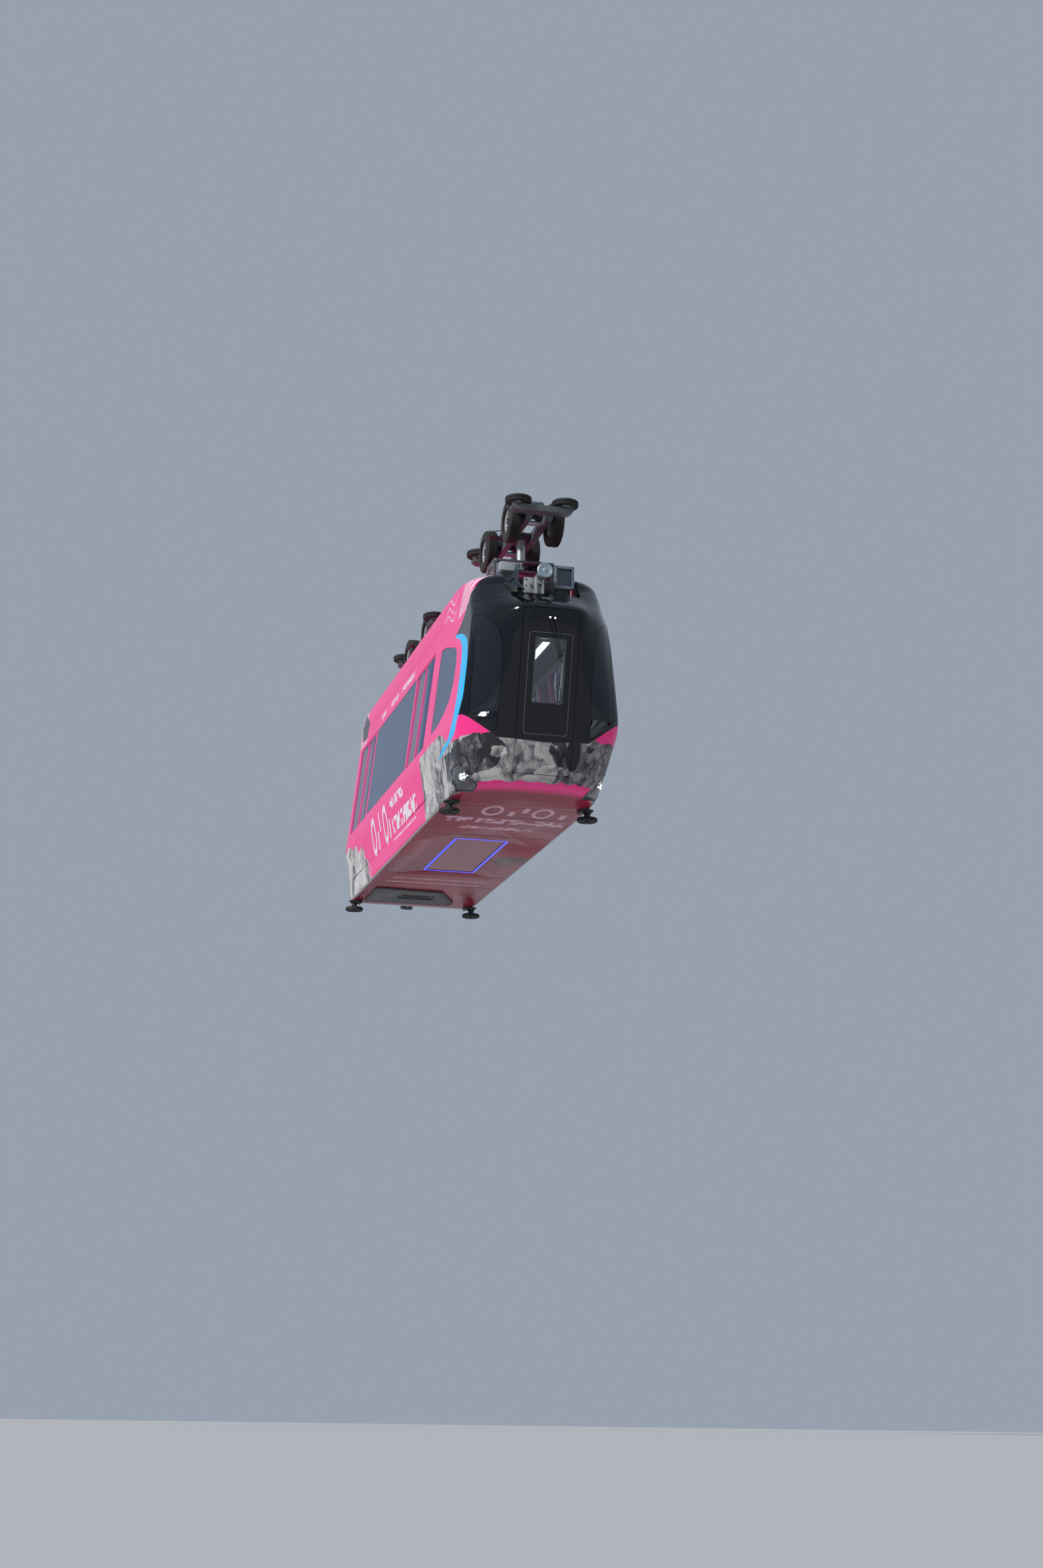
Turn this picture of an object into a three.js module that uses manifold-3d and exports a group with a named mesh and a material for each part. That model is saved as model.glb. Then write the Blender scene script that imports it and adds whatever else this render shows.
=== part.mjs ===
// Leading car of a two-car suspended monorail train, in millimetres, +X forward, +Z up.
// The origin is midway between the two bogies, on the track's running surface.
// Heights in the tables are measured up from the mid-plane of the station guide rollers.
import * as THREE from 'three';
import { mergeVertices } from 'three/addons/utils/BufferGeometryUtils.js';
import Module from 'manifold-3d';

// Driving dimensions of the car
const ROLLER_PLANE = -4060;
const REAR_END = -5000;
const WALL = 70;
const GLASS = 10;
const GAP = 0.4;
const SEAM = 4;

// Cutting blocks reach this far, outside the car; pieces of one side start this far from its middle
const BEYOND = { x: 5400, y: 1600, h: 4000 };
const SIDE_START = 300;

// Heights of the main lines, from the roller plane
const UNDERSIDE = 148;
const THRESHOLD = 490;
const SILL = 1330;
const DOOR_SILL = 1310;
const BAND_TOP = 2850;
const CEILING = 2950;
const ROOF_SEAM = 3180;
const CHIN_SEAM = 1155;

// Panel seams along the car
const NOSE_SEAM = 2960;
const MASK_SEAM = 4320;
const FAIRING_SEAM = 3560;
const END_WALL_FACE = REAR_END + WALL;

// Doorways, windows and bogies along the car
const DOORWAYS = { front: [260, 1670], rear: [-4710, -3260] };
const SIDE_WINDOW = [-3200, 190];
const FLOOR_WINDOW = { x: [-1865, 680], y: 435, glass: [4, 34] };
const BOGIE_X = { front: 3000, rear: -3000 };
const SIDES = { right: -1, left: 1 };

// Materials, from the photograph's colours
const PAINT = {
  pink: [0xff5ca3, 0.28, 0],
  black: [0x14161c, 0.12, 0],
  glass: [0x7f92ad, 0.08, 0],
  stone: [0xb9b2ab, 0.45, 0],
  bellows: [0xd9d8d0, 0.75, 0],
  steel: [0x8f9498, 0.45, 0.7],
  dark: [0x2a2c30, 0.6, 0.2],
  rubber: [0x17181a, 0.85, 0],
  pale: [0xc9ced0, 0.5, 0.1],
  lamp: [0x22252b, 0.2, 0],
  seat: [0x3c6fa5, 0.7, 0],
};

const wasm = await Module();
wasm.setup();

function solid(geometry) {
  const flat = geometry.clone();
  for (const name of Object.keys(flat.attributes)) {
    if (name !== 'position') flat.deleteAttribute(name);
  }
  const merged = mergeVertices(flat, 1e-4);
  return new wasm.Manifold(new wasm.Mesh({
    numProp: 3,
    vertProperties: new Float32Array(merged.attributes.position.array),
    triVerts: new Uint32Array(merged.index.array),
  }));
}

function geometryOf(body) {
  const mesh = body.getMesh();
  const geometry = new THREE.BufferGeometry();
  const corners = new THREE.BufferAttribute(new Float32Array(mesh.vertProperties), 3);
  geometry.setAttribute('position', corners);
  geometry.setIndex([...mesh.triVerts]);
  geometry.computeVertexNormals();
  return geometry;
}

const up = (height) => ROLLER_PLANE + height;
const moved = (geometry, x, y, z) => solid(geometry.clone().translate(x, y, z));

function block([x0, x1], [y0, y1], [z0, z1]) {
  const box = new THREE.BoxGeometry(x1 - x0, y1 - y0, z1 - z0);
  return moved(box, (x0 + x1) / 2, (y0 + y1) / 2, (z0 + z1) / 2);
}

// Cylinders along each axis, from one end to the other
function rodX(radius, x0, x1, y, z, sides = 20) {
  const rod = new THREE.CylinderGeometry(radius, radius, x1 - x0, sides).rotateZ(Math.PI / 2);
  return moved(rod, (x0 + x1) / 2, y, z);
}

function rodY(radius, x, y0, y1, z, sides = 20) {
  return moved(new THREE.CylinderGeometry(radius, radius, y1 - y0, sides), x, (y0 + y1) / 2, z);
}

function rodZ(radius, x, y, z0, z1, sides = 20) {
  const rod = new THREE.CylinderGeometry(radius, radius, z1 - z0, sides).rotateX(Math.PI / 2);
  return moved(rod, x, y, (z0 + z1) / 2);
}

// A turned shape about the Y axis, from pairs of radius and distance along the axis
function lathe(profile, sides) {
  return new THREE.LatheGeometry(profile.map(([r, a]) => new THREE.Vector2(r, a)), sides);
}

function shapeOf(points) {
  return new THREE.Shape(points.map(([a, b]) => new THREE.Vector2(a, b)));
}

// A prism whose outline is given in side view (x, z) and runs from y0 to y1
function sidePrism(points, y0, y1) {
  const prism = new THREE.ExtrudeGeometry(shapeOf(points), { depth: y1 - y0, bevelEnabled: false });
  return solid(prism.rotateX(Math.PI / 2).translate(0, y1, 0));
}

// A prism whose outline is given in front view (y, z) and runs from x0 to x1
function frontPrism(points, x0, x1) {
  const prism = new THREE.ExtrudeGeometry(shapeOf(points), { depth: x1 - x0, bevelEnabled: false });
  return solid(prism.rotateX(Math.PI / 2).rotateZ(Math.PI / 2).translate(x0, 0, 0));
}

// A prism whose outline is given in plan (x, y) and runs from z0 to z1
function planPrism(points, z0, z1) {
  const prism = new THREE.ExtrudeGeometry(shapeOf(points), { depth: z1 - z0, bevelEnabled: false });
  return solid(prism.translate(0, 0, z0));
}

function joined(...bodies) {
  return bodies.reduce((whole, body) => whole.add(body));
}

function cut(body, ...tools) {
  return tools.reduce((rest, tool) => rest.subtract(tool), body);
}

// Horizontal slices of the outer skin: height, half width, and along the car where the side ends,
// then the corner's and the pillar's x and y, and the x of the door's edge and of the centre line
const SLICES = [
  { h: 148, half: 1070, side: 2900, corner: [3150, 1010], pillar: [3380, 700], edge: 3440, nose: 3450 },
  { h: 205, half: 1108, side: 3000, corner: [3560, 1050], pillar: [3990, 740], edge: 4110, nose: 4140 },
  { h: 300, half: 1116, side: 3330, corner: [3800, 1052], pillar: [4200, 745], edge: 4376, nose: 4410 },
  { h: 490, half: 1130, side: 3700, corner: [4030, 1068], pillar: [4390, 735], edge: 4490, nose: 4520 },
  { h: 760, half: 1168, side: 3950, corner: [4220, 1100], pillar: [4540, 700], edge: 4605, nose: 4640 },
  { h: 1080, half: 1215, side: 4180, corner: [4350, 1130], pillar: [4610, 690], edge: 4680, nose: 4710 },
  { h: 1310, half: 1190, side: 4300, corner: [4450, 1080], pillar: [4660, 690], edge: 4730, nose: 4765 },
  { h: 2000, half: 1112, side: 4320, corner: [4500, 1010], pillar: [4770, 690], edge: 4880, nose: 4920 },
  { h: 2500, half: 1055, side: 4280, corner: [4480, 960], pillar: [4800, 690], edge: 4985, nose: 5030 },
  { h: 2650, half: 1038, side: 4230, corner: [4430, 950], pillar: [4770, 690], edge: 5000, nose: 5050 },
  { h: 2800, half: 1022, side: 4130, corner: [4340, 940], pillar: [4680, 680], edge: 4850, nose: 4900 },
  { h: 2950, half: 1005, side: 4020, corner: [4240, 930], pillar: [4540, 660], edge: 4630, nose: 4660 },
  { h: 3180, half: 985, side: 3850, corner: [4100, 915], pillar: [4330, 650], edge: 4380, nose: 4400 },
  { h: 3400, half: 962, side: 3400, corner: [3850, 880], pillar: [4120, 620], edge: 4180, nose: 4200 },
  { h: 3580, half: 915, side: 2500, corner: [3000, 820], pillar: [3250, 560], edge: 3320, nose: 3340 },
  { h: 3700, half: 815, side: 1300, corner: [1750, 700], pillar: [2050, 450], edge: 2110, nose: 2130 },
  { h: 3760, half: 620, side: 300, corner: [700, 500], pillar: [900, 300], edge: 950, nose: 960 },
  { h: 3780, half: 360, side: -700, corner: [-450, 280], pillar: [-300, 150], edge: -280, nose: -270 },
];

// How far the inner skin lies in and down from each slice, from the side section's own slope
function insets(thickness) {
  return SLICES.map((slice, i) => {
    const below = SLICES[Math.max(i - 1, 0)];
    const above = SLICES[Math.min(i + 1, SLICES.length - 1)];
    const rise = above.h - below.h;
    const lean = below.half - above.half;
    const length = Math.hypot(rise, lean);
    return { inward: (thickness * rise) / length, down: (thickness * Math.max(lean, 0)) / length };
  });
}

function sliceOutline(slice, inward) {
  const half = slice.half - inward;
  const right = [
    [REAR_END, -half],
    [slice.side - inward * 0.4, -half],
    [slice.corner[0] - inward * 0.7, -slice.corner[1] + inward * 0.7],
    [slice.pillar[0] - inward, -slice.pillar[1] + inward * 0.3],
    [slice.edge - inward, -430],
    [slice.nose - inward, 0],
  ];
  const left = right.slice(0, -1).reverse().map(([x, y]) => [x, -y]);
  return [...right, ...left];
}

// A closed skin from stacked outlines, each a list of plan points at its own height
function stack(outlines, heights) {
  const count = outlines[0].length;
  const positions = [];
  const faces = [];
  outlines.forEach((outline, i) => {
    outline.forEach(([x, y]) => positions.push(x, y, up(heights[i])));
  });
  for (let i = 0; i + 1 < outlines.length; i += 1) {
    for (let j = 0; j < count; j += 1) {
      const a = i * count + j;
      const b = i * count + ((j + 1) % count);
      if (j < count / 2) faces.push(a, b, b + count, a, b + count, a + count);
      else faces.push(a, b, a + count, b, b + count, a + count);
    }
  }
  const top = (outlines.length - 1) * count;
  const cap = (outline) => THREE.ShapeUtils.triangulateShape(
    outline.map(([x, y]) => new THREE.Vector2(x, y)),
    [],
  );
  for (const [a, b, c] of cap(outlines[0])) faces.push(c, b, a);
  for (const [a, b, c] of cap(outlines[outlines.length - 1])) faces.push(top + a, top + b, top + c);
  const geometry = new THREE.BufferGeometry();
  geometry.setAttribute('position', new THREE.Float32BufferAttribute(positions, 3));
  geometry.setIndex(faces);
  return solid(geometry);
}

function skin(thickness) {
  const steps = insets(thickness);
  const outlines = SLICES.map((slice, i) => sliceOutline(slice, steps[i].inward));
  return stack(outlines, SLICES.map((slice, i) => slice.h - steps[i].down));
}

const outer = skin(0);
const inner = skin(WALL);
const shell = outer.subtract(inner);
const glassShell = outer.subtract(skin(GLASS));

// Everything between two stations and two heights on one side of the car
function zone([x0, x1], [h0, h1], side = 0) {
  const y0 = side > 0 ? SIDE_START : -BEYOND.y;
  const y1 = side < 0 ? -SIDE_START : BEYOND.y;
  return block([x0, x1], [y0, y1], [up(h0), up(h1)]);
}

const trimmed = ([a, b], by) => [a + by, b - by];

// Window outlines in side view
const CAB_WINDOW = [
  [2170, 1375],
  [2670, 1405],
  [3080, 1490],
  [3375, 1620],
  [3520, 1840],
  [3540, 2120],
  [3460, 2360],
  [3270, 2480],
  [2600, 2675],
  [2140, 2765],
];

function sideOutline(points, side) {
  const raised = points.map(([x, h]) => [x, up(h)]);
  return side < 0 ? sidePrism(raised, -BEYOND.y, -SIDE_START) : sidePrism(raised, SIDE_START, BEYOND.y);
}

function shrunk(points, by) {
  const cx = points.reduce((sum, p) => sum + p[0], 0) / points.length;
  const ch = points.reduce((sum, p) => sum + p[1], 0) / points.length;
  return points.map(([x, h]) => {
    const length = Math.hypot(x - cx, h - ch);
    return [x - ((x - cx) * by) / length, h - ((h - ch) * by) / length];
  });
}

// The mask's lower edge and the corner windows, in front view (y, height), right side
const MASK_EDGE = [
  [-1400, 1330],
  [-1161, 1151],
  [-680, 790],
  [0, 742],
];
const CORNER_WINDOW = [
  [-1086, 1200],
  [-933, 1020],
  [-697, 860],
  [-690, 1101],
  [-678, 1433],
  [-672, 1911],
  [-680, 2154],
  [-725, 2335],
  [-811, 2511],
  [-920, 2640],
  [-1012, 2705],
  [-1045, 2540],
  [-1058, 2367],
  [-1033, 2074],
  [-1044, 1866],
  [-1072, 1570],
];
const CORNER_SETBACK = 45;

function maskZone(gap) {
  const lower = MASK_EDGE.map(([y, h]) => [y, up(h + gap)]);
  const mirrored = lower.slice(0, -1).reverse().map(([y, z]) => [-y, z]);
  const top = up(CEILING - gap);
  const outline = [...lower, ...mirrored, [BEYOND.y, top], [-BEYOND.y, top]];
  return frontPrism(outline, MASK_SEAM + gap, BEYOND.x);
}

function cornerPrism(side, by) {
  const outline = shrunk(CORNER_WINDOW, by).map(([y, h]) => [-side * y, up(h)]);
  return frontPrism(side < 0 ? outline : outline.reverse(), MASK_SEAM + CORNER_SETBACK + by, BEYOND.x);
}

// The emergency door in the nose
const DOOR_HALF = 425;
const DOOR_HEIGHTS = [310, 2640];
const DOOR_GLASS = { half: 243, heights: [1286, 2237] };
const DOOR_CLEAR = { round: 8, behind: 25 };
const DOOR_LIP = { depth: 15, inset: 16 };
const NOSE_INSIDE = { sill: 3000, above: 4200 };
const DOOR_FOOT = { x: 4440, lean: 0.209, below: 300 };

function noseBlock(half, [h0, h1], from = NOSE_INSIDE.sill) {
  return block([from, BEYOND.x], [-half, half], [up(h0), up(h1)]);
}

// Everything under the door's foot, which is cut square to its leaning hinge
function underFoot(clear) {
  const z = up(DOOR_HEIGHTS[0]) - clear;
  const outline = [
    [NOSE_INSIDE.sill, z - DOOR_FOOT.below],
    [BEYOND.x, z - DOOR_FOOT.below],
    [BEYOND.x, z + (DOOR_FOOT.x - BEYOND.x) * DOOR_FOOT.lean],
    [NOSE_INSIDE.sill, z + (DOOR_FOOT.x - NOSE_INSIDE.sill) * DOOR_FOOT.lean],
  ];
  return sidePrism(outline, -BEYOND.y, BEYOND.y);
}

const nodes = [];
function add(name, body, paint) {
  const [color, roughness, metalness] = PAINT[paint];
  const material = new THREE.MeshStandardMaterial({ color, roughness, metalness });
  const mesh = new THREE.Mesh(geometryOf(body), material);
  mesh.name = name;
  nodes.push(mesh);
}

// Floor pan with its window, and the brackets of the station guide rollers
const ROLLERS = { x: { front: 3100, rear: -4816 }, y: 1060, radius: 155, half: 30, bore: 26, pin: 20 };
const BRACKET = { halfX: 110, halfY: 70, inboard: 60, bottom: 112, top: UNDERSIDE + 60, boss: 48, clear: 8 };
const PIN_CAP = { radius: 36, thick: 10 };

function rollerBracket(x, y) {
  const middle = y - Math.sign(y) * BRACKET.inboard;
  const span = [middle - BRACKET.halfY, middle + BRACKET.halfY];
  const plate = block([x - BRACKET.halfX, x + BRACKET.halfX], span, [up(BRACKET.bottom), up(BRACKET.top)]);
  const capTop = up(-ROLLERS.half - BRACKET.clear);
  return joined(
    plate,
    rodZ(BRACKET.boss, x, y, up(ROLLERS.half + BRACKET.clear), up(BRACKET.top), 16),
    rodZ(ROLLERS.pin, x, y, capTop - 2, up(UNDERSIDE), 12),
    rodZ(PIN_CAP.radius, x, y, capTop - PIN_CAP.thick, capTop, 16),
  );
}

const bracketPair = (x) => joined(rollerBracket(x, -ROLLERS.y), rollerBracket(x, ROLLERS.y));

const floorZone = zone([END_WALL_FACE + GAP, NOSE_SEAM - GAP], [0, THRESHOLD - GAP]);
const floorHole = block(FLOOR_WINDOW.x, [-FLOOR_WINDOW.y, FLOOR_WINDOW.y], [up(0), up(THRESHOLD + 100)]);
const floorPan = cut(outer.intersect(floorZone), floorHole).add(bracketPair(ROLLERS.x.rear));
add('floor_pan', floorPan, 'pink');
const floorGlass = block(
  trimmed(FLOOR_WINDOW.x, GAP),
  [-FLOOR_WINDOW.y + GAP, FLOOR_WINDOW.y - GAP],
  FLOOR_WINDOW.glass.map((depth) => up(UNDERSIDE + depth)),
);
add('floor_window', floorGlass, 'glass');

// Dark cover bolted under the rear of the floor, with its hand slot
const COVER_PLAN = [
  [-4650, -930],
  [-3450, -930],
  [-3540, 270],
  [-4420, 640],
  [-4650, 640],
];
const COVER = { bottom: 118, slotX: [-4200, -3900], slotY: [-420, 200], slotTop: 134 };
const coverPlate = planPrism(COVER_PLAN, up(COVER.bottom), up(UNDERSIDE - GAP));
const coverSlot = block(COVER.slotX, COVER.slotY, [up(COVER.bottom - 18), up(COVER.slotTop)]);
add('underfloor_cover', cut(coverPlate, coverSlot), 'dark');

// Side walls, windows and doors
const DOOR_LEAF = { stile: 45, head: 60, headGap: 6 };
const DOOR_RAIL = { y: [900, 985], h: [BAND_TOP - 50, BAND_TOP - 10], inset: 60 };
for (const [name, side] of Object.entries(SIDES)) {
  const main = zone([END_WALL_FACE + GAP, NOSE_SEAM - GAP], [THRESHOLD, ROOF_SEAM - GAP], side);
  let wall = shell.intersect(main);
  const ahead = zone([NOSE_SEAM - 2, MASK_SEAM - GAP], [CHIN_SEAM + GAP, CEILING - GAP], side);
  wall = wall.add(shell.intersect(ahead));
  const overFairing = zone([NOSE_SEAM - 2, FAIRING_SEAM - GAP], [CEILING - 2, ROOF_SEAM - GAP], side);
  wall = wall.add(shell.intersect(overFairing));
  wall = cut(wall, zone(SIDE_WINDOW, [SILL, BAND_TOP], side), sideOutline(CAB_WINDOW, side));
  for (const [place, span] of Object.entries(DOORWAYS)) {
    const opening = [THRESHOLD - 20, BAND_TOP + DOOR_LEAF.headGap];
    wall = cut(wall, zone(span, opening, side));
    const middle = (span[0] + span[1]) / 2;
    const leaves = [
      [span[0] + SEAM, middle - SEAM / 2],
      [middle + SEAM / 2, span[1] - SEAM],
    ];
    let pair = null;
    leaves.forEach((leaf, i) => {
      const body = shell.intersect(zone(leaf, [THRESHOLD + SEAM, BAND_TOP], side));
      const glazed = trimmed(leaf, DOOR_LEAF.stile);
      const glazedH = [DOOR_SILL, BAND_TOP - DOOR_LEAF.head];
      const framed = cut(body, zone(glazed, glazedH, side));
      pair = pair ? pair.add(framed) : framed;
      const pane = zone(trimmed(glazed, GAP), trimmed(glazedH, GAP), side);
      const order = i === 0 ? 'aft' : 'fore';
      add(`door_glass_${place}_${name}_${order}`, glassShell.intersect(pane), 'glass');
    });
    const railY = DOOR_RAIL.y.map((y) => side * y).sort((a, b) => a - b);
    const rail = block(trimmed(span, DOOR_RAIL.inset), railY, DOOR_RAIL.h.map(up));
    add(`side_door_${place}_${name}`, pair.add(rail), 'pink');
  }
  add(`side_wall_${name}`, wall, 'pink');
  const pane = zone(trimmed(SIDE_WINDOW, GAP), [SILL + GAP, BAND_TOP - GAP], side);
  add(`side_window_${name}`, glassShell.intersect(pane), 'glass');
  const quarter = sideOutline(shrunk(CAB_WINDOW, 3), side);
  add(`cab_window_${name}`, glassShell.intersect(quarter), 'glass');
}

// Nose: lower shell, black mask with its corner windows, and the emergency door
const doorFrame = DOOR_HALF + DOOR_CLEAR.round;
const sillRebate = noseBlock(doorFrame, [DOOR_HEIGHTS[0] - DOOR_CLEAR.round, THRESHOLD + 10]);
const doorway = noseBlock(doorFrame, [THRESHOLD, DOOR_HEIGHTS[1] + DOOR_CLEAR.round], NOSE_INSIDE.above);
const sillCut = cut(sillRebate, skin(WALL + DOOR_CLEAR.behind), underFoot(DOOR_CLEAR.round));
const doorHole = joined(sillCut, doorway);
const belowMask = MASK_EDGE.map(([y, h]) => [y, up(h - GAP)]);
const chinOutline = [
  [-BEYOND.y, up(0)],
  [BEYOND.y, up(0)],
  ...belowMask.slice(0, -1).map(([y, z]) => [-y, z]),
  ...belowMask.slice().reverse(),
];
const chinZone = joined(
  frontPrism(chinOutline, MASK_SEAM - 2, BEYOND.x),
  zone([NOSE_SEAM, MASK_SEAM], [0, CHIN_SEAM]),
);
const chinFloor = zone([NOSE_SEAM, BEYOND.x], [0, THRESHOLD]);
const LAMP = { x: 3745, y: 1079, h: 345, half: 92, reach: 220, depth: 60 };
const lampAt = (side, radius) => (
  rodY(radius, LAMP.x, side * LAMP.y - LAMP.reach, side * LAMP.y + LAMP.reach, up(LAMP.h), 16)
);
const chin = joined(shell.intersect(chinZone), outer.intersect(chinFloor));
const noseShell = chin.add(bracketPair(ROLLERS.x.front));
const lampHoles = joined(lampAt(-1, LAMP.half), lampAt(1, LAMP.half));
const lampPockets = lampHoles.subtract(skin(LAMP.depth));
add('nose_lower_shell', cut(noseShell, doorHole, lampPockets), 'stone');
for (const [name, side] of Object.entries(SIDES)) {
  const lamp = outer.subtract(skin(LAMP.depth - 2)).intersect(lampAt(side, LAMP.half - GAP));
  add(`headlamp_${name}`, lamp, 'lamp');
}

const maskShell = shell.intersect(maskZone(GAP));
add('nose_mask', cut(maskShell, doorHole, cornerPrism(-1, 0), cornerPrism(1, 0)), 'black');
for (const [name, side] of Object.entries(SIDES)) {
  add(`corner_window_${name}`, glassShell.intersect(cornerPrism(side, 2)), 'glass');
}

const leafInside = noseBlock(DOOR_HALF - DOOR_LIP.inset, [0, BEYOND.h]);
const lipSpace = cut(skin(DOOR_LIP.depth), leafInside);
const leaf = cut(shell.intersect(noseBlock(DOOR_HALF, DOOR_HEIGHTS)), lipSpace, underFoot(0));
add('emergency_door', cut(leaf, noseBlock(DOOR_GLASS.half, DOOR_GLASS.heights)), 'black');
const doorPane = noseBlock(DOOR_GLASS.half - GAP, trimmed(DOOR_GLASS.heights, GAP));
add('emergency_door_glass', glassShell.intersect(doorPane), 'glass');

// Wiper on the emergency door: two pivots, an arm from each to one joint, and the blade
const WIPER = { pivot: 20, arm: 7, joint: 11, blade: 6, stands: 38 };
const WIPER_PIVOTS = [
  [5030, -45, 2500],
  [5029, 30, 2495],
];
const WIPER_JOINT = [4885, 180, 1860];
const WIPER_BLADE = [
  [4941, 185, 2070],
  [4751, 165, 1230],
];

function bar([x0, y0, h0], [x1, y1, h1], radius, sides = 10) {
  const from = new THREE.Vector3(x0, y0, up(h0));
  const way = new THREE.Vector3(x1, y1, up(h1)).sub(from);
  const rod = new THREE.CylinderGeometry(radius, radius, way.length(), sides);
  const own = new THREE.Vector3(0, 1, 0);
  rod.applyQuaternion(new THREE.Quaternion().setFromUnitVectors(own, way.clone().normalize()));
  return moved(rod, ...from.addScaledVector(way, 0.5).toArray());
}

const forward = ([x, y, h], by) => [x + by, y, h];
const wiperArms = WIPER_PIVOTS.flatMap((pivot) => [
  bar(forward(pivot, -30), forward(pivot, WIPER.stands + 6), WIPER.pivot, 16),
  bar(forward(pivot, WIPER.stands), forward(WIPER_JOINT, WIPER.stands - 4), WIPER.arm),
]);
const wiper = joined(
  ...wiperArms,
  bar(forward(WIPER_JOINT, 6), forward(WIPER_JOINT, WIPER.stands + 4), WIPER.joint),
  bar(...WIPER_BLADE, WIPER.blade),
);
add('emergency_door_wiper', cut(wiper, outer.translate(GAP, 0, 0)), 'dark');

// Roof, its black front fairing with the equipment recess, and the ceiling
const RECESS = { x: 3660, y: 560, h: 3010 };
const recess = block([RECESS.x, BEYOND.x], [-RECESS.y, RECESS.y], [up(RECESS.h), up(BEYOND.h)]);
const fairingZone = zone([FAIRING_SEAM + GAP, BEYOND.x], [CEILING + GAP, BEYOND.h]);
add('roof_front_fairing', cut(outer.intersect(fairingZone), recess), 'black');
const roofZone = zone([END_WALL_FACE + GAP, FAIRING_SEAM - GAP], [ROOF_SEAM + GAP, BEYOND.h]);
add('roof_shell', shell.intersect(roofZone), 'pink');

// Rear end wall, gangway bellows and coupler
const GANGWAY = { half: 550, top: 2560 };
const FOOTPLATE = { reach: 400, half: 500, h: [440, 480] };
const gangwayH = [up(THRESHOLD), up(GANGWAY.top)];
const gangwayHole = block([REAR_END - 50, END_WALL_FACE + 50], [-GANGWAY.half, GANGWAY.half], gangwayH);
const endZone = zone([REAR_END - 50, END_WALL_FACE], [0, BEYOND.h]);
const footplate = block(
  [REAR_END - FOOTPLATE.reach, END_WALL_FACE - 10],
  [-FOOTPLATE.half, FOOTPLATE.half],
  FOOTPLATE.h.map(up),
);
add('rear_end_wall', cut(outer.intersect(endZone), gangwayHole).add(footplate), 'pale');

const BELLOWS = { depth: 420, folds: 5, bulge: 45, wall: 24 };
// Right half of the bellows' outline in front view: y, height
const BELLOWS_SECTION = [
  [-820, 300],
  [-985, 400],
  [-1060, 1080],
  [-900, 2900],
  [-850, 3330],
  [-680, 3470],
];
function bellowsOutline(inset, x) {
  const lift = (i) => (i < 1 ? inset : 0) - (i > 4 ? inset : 0);
  const right = BELLOWS_SECTION.map(([y, h], i) => [y + inset, h + lift(i)]);
  const left = right.slice().reverse().map(([y, h]) => [-y, h]);
  return [...right, ...left].map(([y, h]) => [x, y, up(h)]);
}

function ringSkin(loops) {
  const count = loops[0].length;
  const faces = [];
  loops.forEach((loop, i) => {
    const next = ((i + 1) % loops.length) * count;
    for (let j = 0; j < count; j += 1) {
      const a = i * count + j;
      const b = i * count + ((j + 1) % count);
      const c = next + ((j + 1) % count);
      const d = next + j;
      faces.push(a, b, c, a, c, d);
    }
  });
  const geometry = new THREE.BufferGeometry();
  geometry.setAttribute('position', new THREE.Float32BufferAttribute(loops.flat(2), 3));
  geometry.setIndex(faces);
  return solid(geometry);
}

const foldLoops = { outside: [], inside: [] };
for (let i = 0; i <= BELLOWS.folds * 2; i += 1) {
  const x = REAR_END - GAP - (BELLOWS.depth * i) / (BELLOWS.folds * 2);
  const inset = i % 2 ? 0 : BELLOWS.bulge;
  foldLoops.outside.push(bellowsOutline(inset, x));
  foldLoops.inside.unshift(bellowsOutline(inset + BELLOWS.wall, x));
}
add('gangway_bellows', ringSkin([...foldLoops.outside, ...foldLoops.inside]), 'bellows');

const COUPLER = { h: 225, radius: 42, flange: [110, 62], thick: [30, 25], end: REAR_END - BELLOWS.depth };
const couplerFlange = (x0, x1) => block(
  [x0, x1],
  [-COUPLER.flange[0], COUPLER.flange[0]],
  [up(COUPLER.h - COUPLER.flange[1]), up(COUPLER.h + COUPLER.flange[1])],
);
add('coupler_bar', joined(
  couplerFlange(REAR_END - COUPLER.thick[0], REAR_END - GAP),
  rodX(COUPLER.radius, COUPLER.end, REAR_END - GAP, 0, up(COUPLER.h), 16),
  couplerFlange(COUPLER.end, COUPLER.end + COUPLER.thick[1]),
), 'steel');

// Ceiling, benches with the grab poles between them, and the driver's desk
const BENCH = { x: [-2950, -60], y: [480, 1030], seat: [880, 940], back: [970, 1500] };
const PLINTH = { y: 700, inset: 150 };
const POLE = { radius: 17, y: 560, inset: 60 };
const CEILING_PANEL = { half: 932, h: [CEILING - 22, CEILING - 2] };
const ceilingSpan = [END_WALL_FACE + 10, FAIRING_SEAM - 10];
const ceilingWidth = [-CEILING_PANEL.half, CEILING_PANEL.half];
const fittings = [block(ceilingSpan, ceilingWidth, CEILING_PANEL.h.map(up))];
for (const side of Object.values(SIDES)) {
  const span = (a, b) => (side < 0 ? [-b, -a] : [a, b]);
  const base = up(BENCH.seat[0]);
  const seat = block(BENCH.x, span(...BENCH.y), [base, up(BENCH.seat[1])]);
  const back = block(BENCH.x, span(BENCH.back[0], BENCH.y[1]), [base, up(BENCH.back[1])]);
  const plinthH = [up(THRESHOLD + GAP), base + 20];
  const plinth = block(trimmed(BENCH.x, PLINTH.inset), span(PLINTH.y, BENCH.y[1]), plinthH);
  const poles = trimmed(BENCH.x, POLE.inset).map((x) => (
    rodZ(POLE.radius, x, side * POLE.y, base + 20, up(CEILING - 10), 10)
  ));
  fittings.push(seat, back, plinth, ...poles);
}
add('ceiling_and_benches', joined(...fittings), 'seat');
const DESK = [
  [3650, THRESHOLD + GAP],
  [3980, THRESHOLD + GAP],
  [4120, 1100],
  [4080, 1240],
  [3700, 1180],
];
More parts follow.
